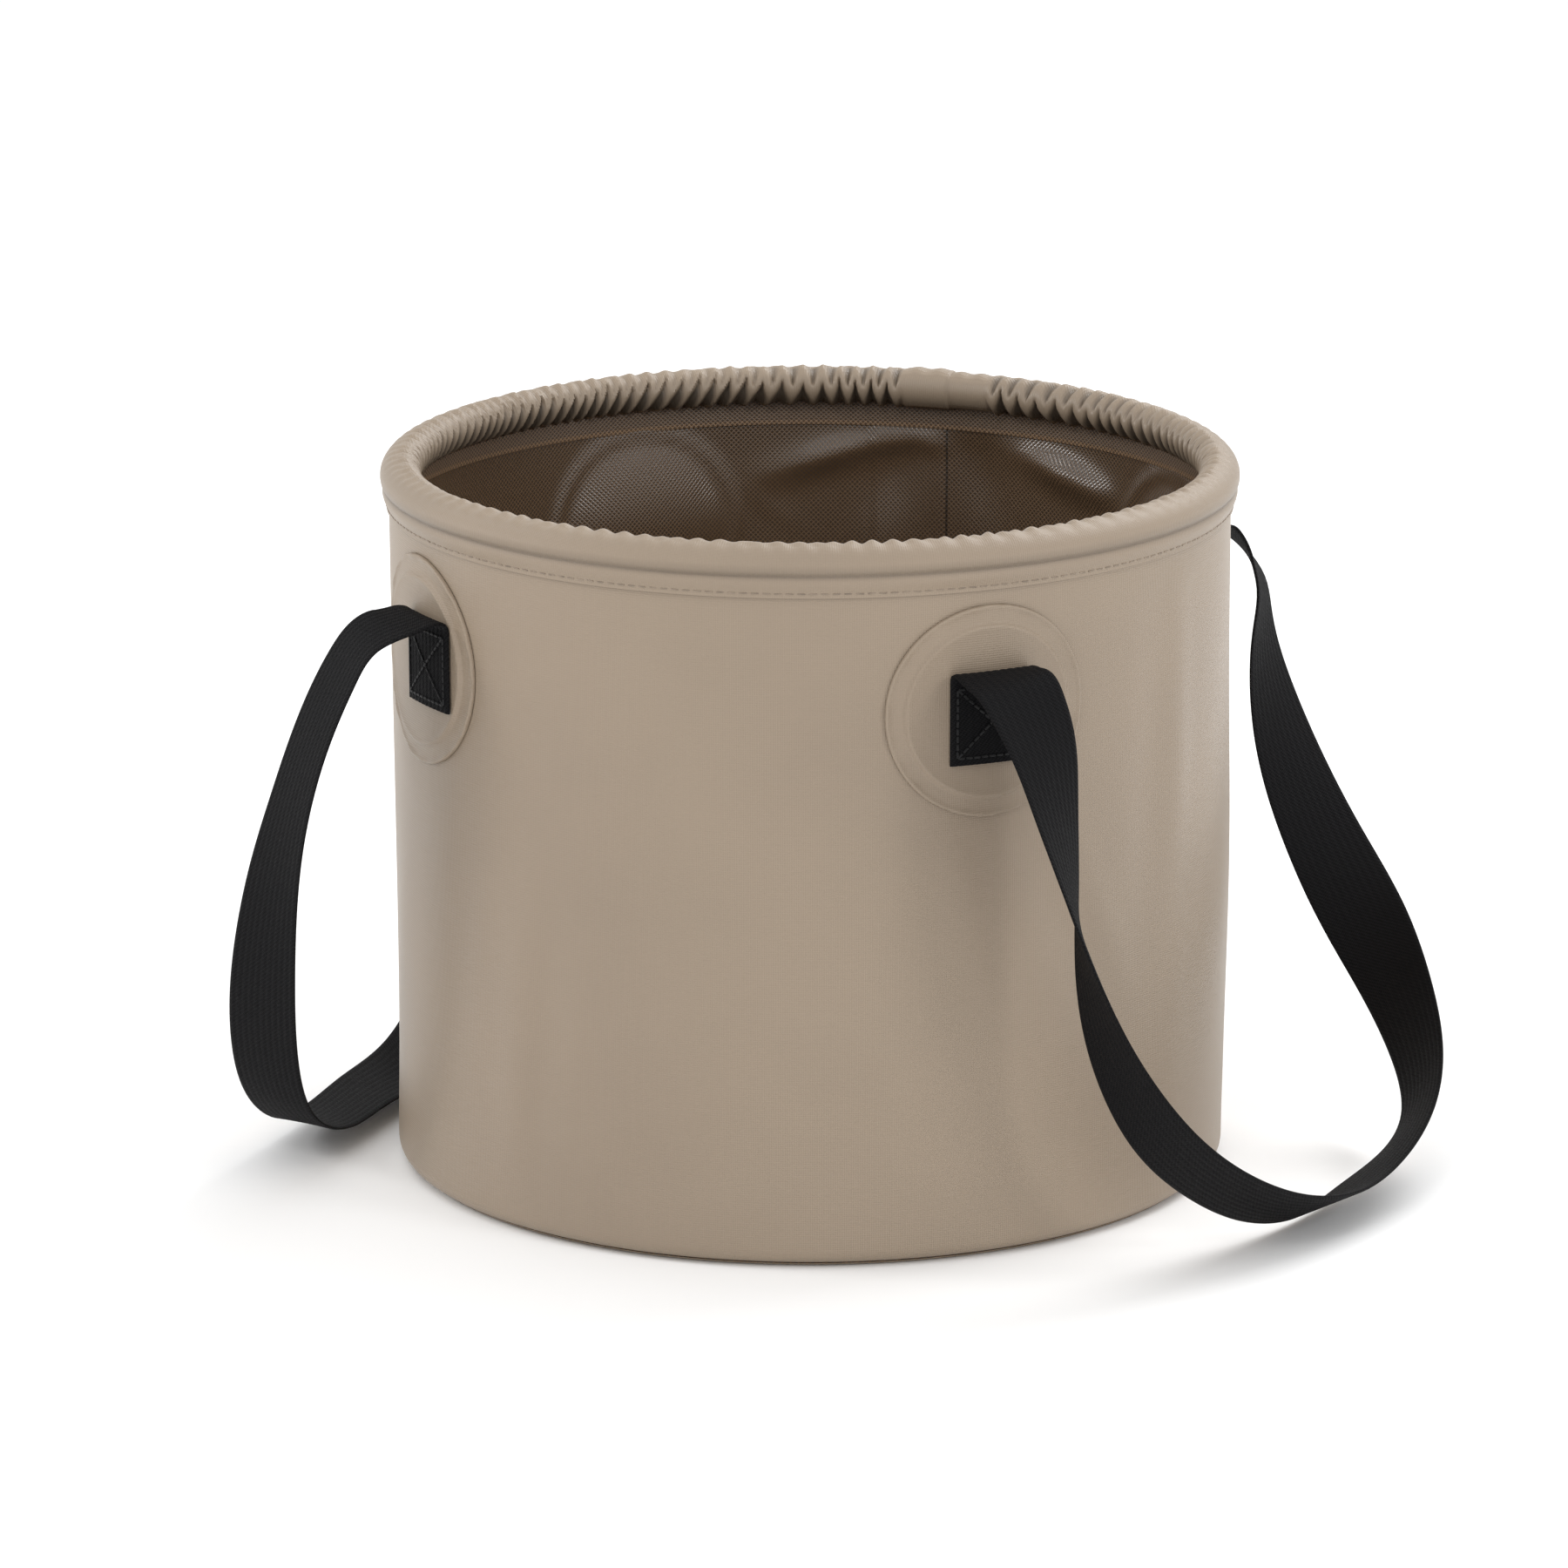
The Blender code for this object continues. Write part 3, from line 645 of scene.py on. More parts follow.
# Hollows and ridges of the slack cloth at the back, just under the rim's inner band, in the
# same columns
slack_folds = (
    (106.8, 0.2190, -72, 0.042, 0.0052, -2.7),
    (97.0, 0.2250, -80, 0.016, 0.0036, -1.3),
    (93.0, 0.2255, 70, 0.012, 0.0032, -1.0),
    (71.5, 0.2185, 72, 0.036, 0.0056, -2.7),
    (62.0, 0.2125, 66, 0.042, 0.0052, -1.5),
    (98.0, 0.2120, -20, 0.034, 0.0100, 1.4),
    (84.0, 0.2130, 14, 0.034, 0.0100, 1.0),
    (126.0, 0.2160, 56, 0.056, 0.0036, -0.8),
    (128.5, 0.2150, 56, 0.050, 0.0036, 0.5),
)

# Slow waves round the wall: how many, phase, height, spread in height, share of the wall wave
slow_waves = ((3, 1.1, 0.12, 0.07, 0.30), (5, 0.4, 0.10, 0.06, 0.22))
# Heights over which the waves grow from the foot, and fade under the rim's inner band
foot_fade = (0.004, 0.030)
band_fade = (inner_flange_bottom + 1.5 * mm, 0.2225)


def wall_swell(bearings, heights):
    """How far the wall stands out of its turned shape, from its waves, creases and slack folds."""
    swell = np.zeros_like(np.asarray(bearings, dtype=float))
    for *form, share in (*wall_creases, *slack_folds):
        swell += share * crease(bearings, heights, *form)
    for count, phase, height, width, share in slow_waves:
        wave = np.sin(count * np.asarray(bearings) + phase)
        swell += share * wave * bell(heights, height, width)
    held = fade(heights, *foot_fade) * fade(heights, *band_fade)
    return sizes().wall_wave * swell * held * (1 - near_patch(bearings, heights))


class BUCKET_OT_wall(bpy.types.Operator):
    """Wall of coated fabric with its lap at the back: its top, and the rest, which folds up."""

    bl_idname = "bucket.wall"
    bl_label = "Wall"

    around = 540
    rows = 84
    corner_steps = 6
    lap_step = 0.0009
    lap_end = (10.6, 10.9)
    ring_depth = 0.0015
    bulge_width = 0.036
    seen_bulge = 0.0075
    usual_bulge = 0.0040
    slit = 0.00005

    def profile(self):
        """The outer and the inner face, each from the top down, then in under the base."""
        heights = np.linspace(wall_top_height, corner_height, self.rows)
        faces = []
        for depth in (0.0, wall_thickness):
            radius = corner_radius - depth
            low = corner_height - radius
            face = [(float(wall_radius(height)) - depth, float(height)) for height in heights]
            for step in range(1, self.corner_steps + 1):
                angle = -math.pi / 2 * step / self.corner_steps
                out, up = radius * math.cos(angle), radius * math.sin(angle)
                face.append((foot_centre + out, corner_height + up))
            face += [(foot_centre - weld_width / 2, low), (foot_centre - weld_width, low)]
            faces.append(face)
        return faces

    def inner_relief(self, bearings, heights):
        """How far the inner face stands in: at the lap, and in rings and bulges at the patches."""
        from_lap = bearing_gap(bearings, lap_bearing)
        lap = fade(from_lap, 0.0, 0.25) * (1 - fade(from_lap, *self.lap_end))
        lap = lap * fade(heights, lap_bottom - 2 * mm, lap_bottom)
        band = inner_flange_bottom
        lap = lap * fade(heights, band + 0.5 * mm, band - 2 * mm)
        relief = self.lap_step * lap
        for corner, away in from_patches(bearings, heights):
            relief = relief + self.ring_depth * bell(away, patch_radius, 2 * mm)
            bulge = self.seen_bulge if corner == "rear_left" else self.usual_bulge
            relief = relief + bulge * np.clip(1 - (away / self.bulge_width) ** 2, 0, 1)
        return relief

    def faces_inward(self, wall):
        """Which faces of the wall are on its inner side."""
        middles = face_middles(wall)
        radius, bearings = around_axis(middles)
        heights = middles[:, 2]
        half = wall_thickness / 2
        line = wall_radius(heights) - half + wall_swell(bearings, heights)
        reach = np.hypot(radius - foot_centre, heights - corner_height)
        in_corner = reach < corner_radius - half
        under = np.where(radius > foot_centre, in_corner, heights > hem_height + half)
        return np.where(heights < corner_height, under, radius < line)

    def execute(self, context):
        outer, inner = self.profile()
        rings = [*outer, *inner[::-1], outer[0]]
        wall = sleeve("bucket_wall", rings, self.around, closed=True)
        places = points_of(wall)
        radius, bearings = around_axis(places)
        heights = places[:, 2]
        outside = radius > wall_radius(heights) - wall_thickness / 2
        radius = radius + wall_swell(bearings, heights)
        radius = radius - np.where(outside, 0.0, self.inner_relief(bearings, heights))
        places[:, 0] = radius * np.cos(bearings)
        places[:, 1] = radius * np.sin(bearings)
        move_points(wall, places)

        outside_finish = shared("coated_fabric_outside", coated_outside)
        inside_finish = shared("coated_fabric_inside", coated_inside)
        set_slots(wall, (outside_finish, inside_finish), self.faces_inward(wall))
        map_around(wall, wall_top_radius, heights)
        smooth(wall)
        cut = self.cut_height()
        upper = self.cut_off(wall, cut)
        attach(upper, "upper")
        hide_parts("wall_panel")
        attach(wall, "base")
        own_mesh(wall)
        return {"FINISHED"}

    def cut_height(self):
        """The highest row of the wall under the patches, above which it stays stiff."""
        rows = np.linspace(wall_top_height, corner_height, self.rows)
        return float(rows[rows < patch_centre_height - patch_radius].max())

    def cut_off(self, wall, height):
        """Take the part of the wall above a height off as a piece of its own, and close both."""
        above = face_middles(wall)[:, 2] > height
        with editing(wall, "DESELECT"):
            bpy.ops.object.mode_set(mode="OBJECT")
            wall.data.polygons.foreach_set("select", above)
            bpy.ops.object.mode_set(mode="EDIT")
            bpy.ops.mesh.separate(type="SELECTED")
        upper = next(piece for piece in bpy.context.selected_objects if piece != wall)
        upper.name = upper.data.name = "bucket_wall_top"
        for piece in (wall, upper):
            with editing(piece, "DESELECT"):
                bpy.ops.mesh.select_mode(type="EDGE")
                bpy.ops.mesh.select_non_manifold()
                bpy.ops.mesh.bridge_edge_loops()
                bpy.ops.mesh.select_mode(type="VERT")
            smooth(piece)
        return upper


class BUCKET_OT_floor_panel(bpy.types.Operator):
    """Round base panel that the wall's turned-in edge is welded to."""

    bl_idname = "bucket.floor_panel"
    bl_label = "Base panel"

    around = 192
    rings = 26

    def execute(self, context):
        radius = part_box("base_panel")[1].x
        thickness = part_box("base_panel")[1].z
        edge = thickness / 3
        shares = np.linspace(0.02, 1.0, self.rings)[:-1]
        top = [(float(radius * share), thickness) for share in shares]
        profile = [*top, (radius - edge, thickness), (radius, thickness - edge), (radius, edge)]
        profile += [(radius - edge, 0.0), *[(ring, 0.0) for ring, _ in top[::-1]]]
        panel = sleeve("base_disc", profile, self.around, filled=True)
        places = points_of(panel)
        reach, _ = around_axis(places)
        hem = foot_centre - weld_width
        dip = 0.25 * mm * bell(reach, hem - 2 * mm, 1.8 * mm)
        dip += 0.2 * mm * (1 - fade(reach, 0.0, hem))
        places[:, 2] += np.where(places[:, 2] > thickness / 2, -dip, dip)
        move_points(panel, places)
        outside_finish = shared("coated_fabric_outside", coated_outside)
        inside_finish = shared("coated_fabric_inside", coated_inside)
        inward = face_middles(panel)[:, 2] > thickness / 2
        set_slots(panel, (outside_finish, inside_finish), inward)
        vertex, _ = corner_arrays(panel)
        write_cloth_map(panel, points_of(panel)[vertex][:, :2])
        smooth(panel)
        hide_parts("base_panel")
        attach(panel, "base")
        return {"FINISHED"}


def scatter(number, seed, shift=0.0, scale=43758.5453):
    """A number from 0 to 1 for each whole number, without any order that shows."""
    return np.abs(np.sin(number * seed + shift) * scale) % 1


def pleat_form(bearings, turn):
    """How deep each point of the rim lies in a pleat, from 0 on the ridges to 1 in the valleys,
    how much of the pleating there is at that point, and how much painted shade it gets there.

    turn is the place round the roll, in radians from its outer side over its top to its inner
    side. Hollows of uneven height open downwards, with shallow ones that open upwards between
    them, so that the cloth stands up in a zigzag at the back and in leaning folds at the sides.
    """
    from_back = bearing_gap(bearings, lap_bearing)
    whole = round(math.tau * roll_centre_radius / sizes().pleat_pitch)
    wander = 2.2 * np.sin(2 * (bearings - math.radians(170)))
    wander += 0.22 * np.sin(7 * bearings) + 0.16 * np.sin(17 * bearings + 1.3)
    crest = math.radians(95)
    down = np.where(turn > crest, 0.5 - 0.5 * np.cos(turn - crest), 0.0)
    from_zigzag = from_back + 4
    beside = fade(np.abs(from_zigzag), 22, 40)
    lean = beside * np.where(from_zigzag > 0, 0.95, -0.30)
    count = bearings / math.tau * whole + wander - lean * down
    number = np.round(count)
    start = 0.16 + 0.22 * scatter(number, 12.9898) - 0.10 * beside
    height = 0.65 + 0.35 * scatter(number, 78.233, 2.0, 24634.6345)
    opening = 0.14 + 0.84 * fade(down, start, 0.90 - 0.25 * beside)
    hollow = np.clip(1 - 2 * np.abs(count - number) / opening, 0, 1)
    hollow = hollow * fade(down, start - 0.10, start + 0.12) * height
    between = np.abs(count - np.floor(count) - 0.5)
    upper_opening = 0.90 - 0.80 * np.clip(down / 0.42, 0, 1)
    upper = np.clip(1 - 2 * between / upper_opening, 0, 1)
    upper = upper * fade(down, 0.50, 0.26) * (0.38 + 0.50 * (1 - beside))
    first, full, last, none = np.radians((78, 104, 262, 288))
    window = fade(turn, first, full) * fade(turn, none, last)
    plain = fade(np.abs(bearing_gap(bearings, lap_bearing - 1)), 6.4, 7.6)
    # Painted shade: darkest in the deep hollows low on the roll, lighter in the shallow upper
    # hollows, and darker overall towards the roll's inner bottom.
    dark = np.maximum(hollow * (0.7 + 0.8 * fade(down, 0.2, 0.7)), 0.70 * upper)
    dark = dark + 0.30 * fade(down, 0.50, 0.95)
    return np.maximum(hollow, upper), window * plain, dark


class BUCKET_OT_rim(bpy.types.Operator):
    """Rim cover: fabric rolled round the hoop, pleated on its inner side, with two flanges."""

    bl_idname = "bucket.rim"
    bl_label = "Rim cover"

    around = 1320
    roll_steps = 46
    crease_height = roll_centre_height - 2.9 * mm
    roll_bottom = roll_centre_height - roll_radius

    def profile(self):
        """Up the outer band, over the roll, down the inner band, and back between the two."""
        outer_face = wall_top_radius + fit_gap
        inner_face = wall_top_radius - wall_thickness - fit_gap
        outer_skin = outer_face + flange_thickness
        inner_skin = inner_face - flange_thickness
        first, last = -math.asin(1.9 * mm / roll_radius), math.pi * 1.5 + 0.35
        roll = [
            (
                roll_centre_radius + roll_radius * math.cos(turn),
                roll_centre_height + roll_radius * math.sin(turn),
            )
            for turn in np.linspace(first, last, self.roll_steps)
        ]
        outer_band = ((0, 0), (0, 1), (0.1, 1.7), (0.5, 2.6), (1.1, 4), (1.4, 5.3))
        under_roll = ((1.3, -1.4), (1.1, -0.6), (1.0, 0), (1.3, 0.5))
        return [
            *offsets(outer_skin, outer_flange_bottom, *outer_band),
            *offsets(outer_skin, self.crease_height, *under_roll),
            *roll,
            *offsets(inner_skin, self.roll_bottom, (0.2, 0.6), (0, -2.2), (0, -6)),
            *offsets(inner_skin, inner_flange_bottom, (-0.1, 1.6), (0, 0)),
            *offsets(inner_face, inner_flange_bottom, (0, 0), (0, 9)),
            *offsets(inner_face, wall_top_height, (0, 0), (0, 0.4)),
            *offsets(outer_face, wall_top_height, (0, 0.4), (0, 0)),
            *offsets(outer_face, outer_flange_bottom, (0, 0.6), (0, 0)),
        ]

    def execute(self, context):
        profile = self.profile()
        cover = sleeve("rim_roll", [*profile, profile[0]], self.around, closed=True)
        places = points_of(cover)
        radius, bearings = around_axis(places)
        reach, rise = radius - roll_centre_radius, places[:, 2] - roll_centre_height
        from_centre = np.hypot(reach, rise)
        on_roll = fade(np.abs(from_centre - roll_radius), 1.2 * mm, 0.2 * mm)
        on_roll = on_roll * (from_centre > roll_radius - 2 * mm)
        turn = np.arctan2(rise, reach) % math.tau
        turn = np.where(turn > math.radians(330), turn - math.tau, turn)
        valley, gathered, dark = pleat_form(bearings, turn)
        first, full, last, none = np.radians((30, 85, 100, 135))
        puff = 0.3 * mm * np.sin(111 * bearings + 2 * np.sin(5 * bearings))
        puff = puff * fade(turn, first, full) * fade(turn, none, last)
        grow = on_roll * (gathered * (1.0 * mm - sizes().pleat_depth * valley) + puff)
        from_step = bearing_gap(bearings, lap_bearing - 1.2)
        overlap = fade(from_step, -0.1, 0.1) * fade(from_step, 7.5, 6.5)
        grow = grow + on_roll * 0.7 * mm * overlap
        stretch = 1 + grow / np.maximum(from_centre, fit_gap)
        reach, rise = reach * stretch, rise * stretch
        places[:, 0] = (roll_centre_radius + reach) * np.cos(bearings)
        places[:, 1] = (roll_centre_radius + reach) * np.sin(bearings)
        places[:, 2] = roll_centre_height + rise
        move_points(cover, places)
        # Painted shade for the fold_shade attribute: a thin dark line at the crease under the roll
        # and a wide soft band over the roll's lower outer side, on the outer side only, together
        # with the painted shade of the pleat hollows.
        painted_crease_shade = 0.16 * bell(places[:, 2], self.crease_height, 0.9 * mm)
        painted_crease_shade += 0.25 * bell(places[:, 2], self.crease_height + mm, 3.4 * mm)
        write_shade(cover, np.maximum(on_roll * gathered * dark, painted_crease_shade * (reach > 0)))
        middles = face_middles(cover)
        face_radius, _ = around_axis(middles)
        heights = middles[:, 2]
        below_roll = heights < self.roll_bottom + 0.4 * mm
        inward = below_roll & (face_radius < wall_top_radius - wall_thickness / 2)
        edge = inward & (np.abs(heights - inner_flange_bottom) < 0.9 * mm)
        finishes = (
            # The outer finish paints the shade of the fold_shade attribute into its colour.
            shared("rim_fabric_outside", coated_outside, 1.0, True),
            shared("rim_band_inside", coated_inside, 1.25, 0.34),
            shared("rim_band_edge", coated_inside, 1.9, 0.24),
        )
        set_slots(cover, finishes, np.where(edge, 2, inward))
        map_around(cover, roll_centre_radius, turn * roll_radius + places[:, 2])
        smooth(cover)
        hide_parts("rim_cover")
        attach(cover, "upper")
        return {"FINISHED"}


def stitch_form(length, width, thickness):
    """Points and faces of one stitch: a short rounded bar along X that lies on Z."""
    deselect()
    upright = {"vertices": 8, "radius": 0.5, "depth": 1.0}
    bpy.ops.mesh.primitive_cylinder_add(**upright, rotation=(0, math.pi / 2, 0))
    bar = bpy.context.object
    apply_place()
    with editing(bar):
        bpy.ops.mesh.bevel(offset=0.2, segments=2, affect="EDGES", clamp_overlap=True)
        bpy.ops.mesh.remove_doubles(threshold=0.01)
        bpy.ops.mesh.normals_make_consistent(inside=False)
    places = points_of(bar) * np.array((length, width, thickness))
    faces = [tuple(face.vertices) for face in bar.data.polygons]
    bpy.data.objects.remove(bar)
    return places, faces


def laid_stitches(name, frames, length, width, thickness, material):
    """One object of many stitches, each a copy at a place with its along, across and out axes."""
    form, faces = stitch_form(length, width, thickness)
    places, all_faces = [], []
    for index, (middle, along, across, out) in enumerate(frames):
        basis = np.array((along, across, out), dtype=float)
        places.append(form @ basis + np.array(middle, dtype=float))
        all_faces += [tuple(v + index * len(form) for v in face) for face in faces]
    mesh = bpy.data.meshes.new(name)
    mesh.from_pydata(np.concatenate(places).tolist(), [], all_faces)
    piece = bpy.data.objects.new(name, mesh)
    bpy.context.scene.collection.objects.link(piece)
    mesh.materials.append(material)
    mesh.polygons.foreach_set("use_smooth", np.ones(len(all_faces), dtype=bool))
    mesh.update()
    return piece


class BUCKET_OT_rim_seam(bpy.types.Operator):
    """Row of stitches under the rim, each one sunk a little into the cover's flange."""

    bl_idname = "bucket.rim_seam"
    bl_label = "Rim seam"

    thread_width = 0.0006
    thread_thickness = 0.0005
    stitch_share = 0.66
    axis_height = 0.00012

    def execute(self, context):
        low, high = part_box("rim_seam_thread")
        height = (low.z + high.z) / 2
        radius = wall_top_radius + fit_gap + flange_thickness + self.axis_height
        pitch = sizes().stitch_pitch
        count = round(math.tau * radius / pitch)
        frames = []
        for index in range(count):
            angle = index * math.tau / count
            out = Vector((math.cos(angle), math.sin(angle), 0))
            along = Vector((-math.sin(angle), math.cos(angle), 0.08 * math.sin(index * 2.4)))
            place = out * radius + Vector((0, 0, height))
            frames.append((place, along.normalized(), (0, 0, 1), out))
        thread = shared("seam_thread", twisted_thread, colours().thread)
        size = (pitch * self.stitch_share, self.thread_width, self.thread_thickness)
        seam = laid_stitches("rim_stitches", frames, *size, thread)
        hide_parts("rim_seam_thread")
        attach(seam, "upper")
        return {"FINISHED"}


def on_wall(bearing_degrees, across, heights, off_face):
    """Places wrapped on the wall: across it from a bearing, at heights, off its outer face."""
    radius = wall_radius(heights) + np.asarray(off_face)
    angle = math.radians(bearing_degrees) + np.asarray(across) / wall_radius(patch_centre_height)
    return np.stack((radius * np.cos(angle), radius * np.sin(angle), heights), axis=1)


class BUCKET_OT_patches(bpy.types.Operator):
    """Four round patches, each with a beaded edge and a raised middle with its own bead."""

    bl_idname = "bucket.patches"
    bl_label = "Patches"

    around = 128

    def profile(self):
        """From the middle of the front over both beads to the edge, and back behind it."""
        base, slope_end = fit_gap, raised_radius + slope_width
        low_top = base + patch_thickness
        high_top = low_top + patch_raise
        edge_bead = ((-2.8, 0), (-1.8, 0.05), (-1.2, 0.3), (-0.7, 0.38), (-0.2, 0.2), (0, -0.3))
        return [
            *[(raised_radius * share, high_top) for share in (0.1, 0.4, 0.8, 0.94)],
            *offsets(raised_radius, high_top, (-0.4, 0.25), (0.2, 0.3), (0.8, -0.1)),
            *offsets(slope_end, low_top, (0, 0.15), (0.8, 0)),
            *offsets(patch_radius, low_top, *edge_bead),
            *offsets(patch_radius, base, (0, 0), (-1, 0)),
            (slope_end, base),
            *[(raised_radius * share, base + patch_raise) for share in (1.0, 0.5, 0.1)],
        ]

    def execute(self, context):
        for corner, (bearing, _, _) in corners.items():
            patch = sleeve(f"{corner}_round_patch", self.profile(), self.around, filled=True)
            across, up, out = points_of(patch).T
            reach, angle = np.hypot(across, up), np.arctan2(up, across)
            uneven = 0.35 * mm * np.sin(9 * angle + bearing) + 0.25 * mm * np.sin(23 * angle)
            uneven = uneven * bell(reach, patch_radius - 0.8 * mm, 1.2 * mm) / 2
            out = out + np.where(out > fit_gap + patch_thickness / 2, uneven, 0)
            vertex, _ = corner_arrays(patch)
            write_cloth_map(patch, np.stack((across, up), axis=1)[vertex])
            move_points(patch, on_wall(bearing, across, patch_centre_height + up, out))
            set_slots(patch, (shared("patch_fabric", coated_outside),))
            smooth(patch)
            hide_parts(f"{corner}_patch")
            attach(patch, "upper")
        return {"FINISHED"}


# Webbing

rib_count = 11
rib_points = 4


def webbing_section():
    """Shares of the width, from -0.5 to 0.5, and of the thickness, round the webbing's section."""
    count = rib_count * rib_points
    across = np.linspace(-0.5, 0.5, count + 1)
    swell = np.abs(np.sin(math.pi * rib_count * (across + 0.5))) ** 0.6
    face = 0.5 - 0.16 * (1 - swell)
    face[0] = face[-1] = 0.20
    face[1] = face[-2] = 0.40
    front = np.stack((across, face), axis=1)
    rear = np.stack((across[::-1], -face[::-1]), axis=1)
    return np.concatenate((front, rear))


def webbing_piece(name, middles, widths, normals, starts, sag=0.0):
    """Webbing laid along stations. Its sleeve's rings become the webbing's sections."""
    section = webbing_section()
    around, stations = len(section), len(middles)
    piece = sleeve(name, [(1.0, float(step)) for step in range(stations)], around, filled=True)
    shape = points_of(piece)
    station = np.rint(shape[:, 2]).astype(int)
    angle = around_axis(shape)[1] % math.tau
    place = np.floor(angle / math.tau * around + 0.25).astype(int) % around
    across = section[place, 0] * webbing_width
    sag = np.broadcast_to(sag, stations)[station]
    out = section[place, 1] * webbing_thickness - sag * across**2
    vertex, _ = corner_arrays(piece)
    write_cloth_map(piece, np.stack((across, np.asarray(starts)[station]), axis=1)[vertex])
    aside, outwards = widths[station] * across[:, None], normals[station] * out[:, None]
    move_points(piece, middles[station] + aside + outwards)
    with editing(piece):
        bpy.ops.mesh.normals_make_consistent(inside=False)
    set_slots(piece, (shared("black_webbing", black_webbing),))
    smooth(piece, math.radians(60))
    return piece


def spline_rows(places, values, wanted):
    """Natural cubic spline through rows of values at given places, read at the wanted places."""
    steps = np.diff(places)
    slopes = np.diff(values, axis=0) / steps[:, None]
    size = len(places)
    system, right_side = np.eye(size), np.zeros_like(values)
    for index in range(1, size - 1):
        before, after = steps[index - 1], steps[index]
        system[index, index - 1 : index + 2] = (before, 2 * (before + after), after)
        right_side[index] = 6 * (slopes[index] - slopes[index - 1])
    bends = np.linalg.solve(system, right_side)
    spans = np.clip(np.searchsorted(places, wanted) - 1, 0, size - 2)
    width = steps[spans][:, None]
    before = (places[spans + 1] - wanted)[:, None]
    after = (wanted - places[spans])[:, None]
    return (
        bends[spans] * before**3 / (6 * width)
        + bends[spans + 1] * after**3 / (6 * width)
        + (values[spans] / width - bends[spans] * width / 6) * before
        + (values[spans + 1] / width - bends[spans + 1] * width / 6) * after
    )


def fold_radius(fold_height):
    """Radius of the middle of the webbing where it leaves the top of a tab."""
    return float(wall_radius(fold_height)) + tab_face + webbing_thickness / 2


def strap_rows(shares, side, bearing, fold_heights):
    """Rows of x, y, z, heading and tilt along a strap, from its front fold to its rear one."""
    front_height, rear_height = fold_heights
    cosine, sine = math.cos(bearing), math.sin(bearing)
    fold_out = fold_radius(front_height) * cosine
    fold_along = fold_radius(front_height) * sine
    whole_turn = 360 if shares[-1][3] > 180 else 0

    def fold(sign, height, heading, tilt):
        """The fold over a tab, up to a route row with a given heading and tilt."""
        square = sign * (math.degrees(bearing) - 90)
        for reach_share, rise_share, turn_share in ((0, 0, 0), *fold_shares):
            out = fold_reach * reach_share
            yield (
                fold_out + out * cosine,
                sign * (fold_along + out * sine),
                height + fold_rise * rise_share,
                square + turn_share * (heading - square) + (whole_turn if sign > 0 else 0),
                turn_share * tilt,
            )

    rows = [*fold(-1, front_height, *shares[0][3:])]
    for out_share, along_share, height_share, heading, tilt in shares:
        nearer_height = front_height if along_share < 0 else rear_height
        out, along = fold_out + strap_reach * out_share, fold_along * along_share
        drop = webbing_width / 2 * abs(math.sin(math.radians(tilt)))
        rows.append((out, along, nearer_height * height_share + drop, heading, tilt))
    last_heading, last_tilt = shares[-1][3:]
    rows += [*fold(1, rear_height, last_heading - whole_turn, last_tilt)][::-1]
    rows = np.array(rows, dtype=float)
    rows[:, 0] *= side
    return rows


def unit(vectors):
    return vectors / np.linalg.norm(vectors, axis=1)[:, None]


def run_along(places):
    """The length from the first of a row of places to each of them."""
    return np.concatenate(([0], np.cumsum(np.linalg.norm(np.diff(places, axis=0), axis=1))))


def strap_route(shares, side, bearing, fold_heights):
    """Middle, width direction and face direction of a strap, as functions of its length."""
    rows = strap_rows(shares, side, bearing, fold_heights)
    places = run_along(rows[:, :3])
    dense = np.linspace(0, places[-1], 40 * len(rows))
    smoothed = spline_rows(places, rows, dense)
    lengths = run_along(smoothed[:, :3])

    heading, tilt = np.radians(smoothed[:, 3]), np.radians(smoothed[:, 4])
    flat = np.cos(tilt)
    across = (side * flat * np.cos(heading), flat * np.sin(heading), np.sin(tilt))
    across = np.stack(across, axis=1)
    along = unit(np.gradient(smoothed[:, :3], axis=0))
    across = unit(across - (across * along).sum(axis=1)[:, None] * along)
    columns = (smoothed[:, :3], across, np.cross(across, along))

    def at(wanted):
        return [
            np.stack([np.interp(wanted, lengths, column[:, axis]) for axis in range(3)], axis=1)
            for column in columns
        ]

    return at, lengths[-1]


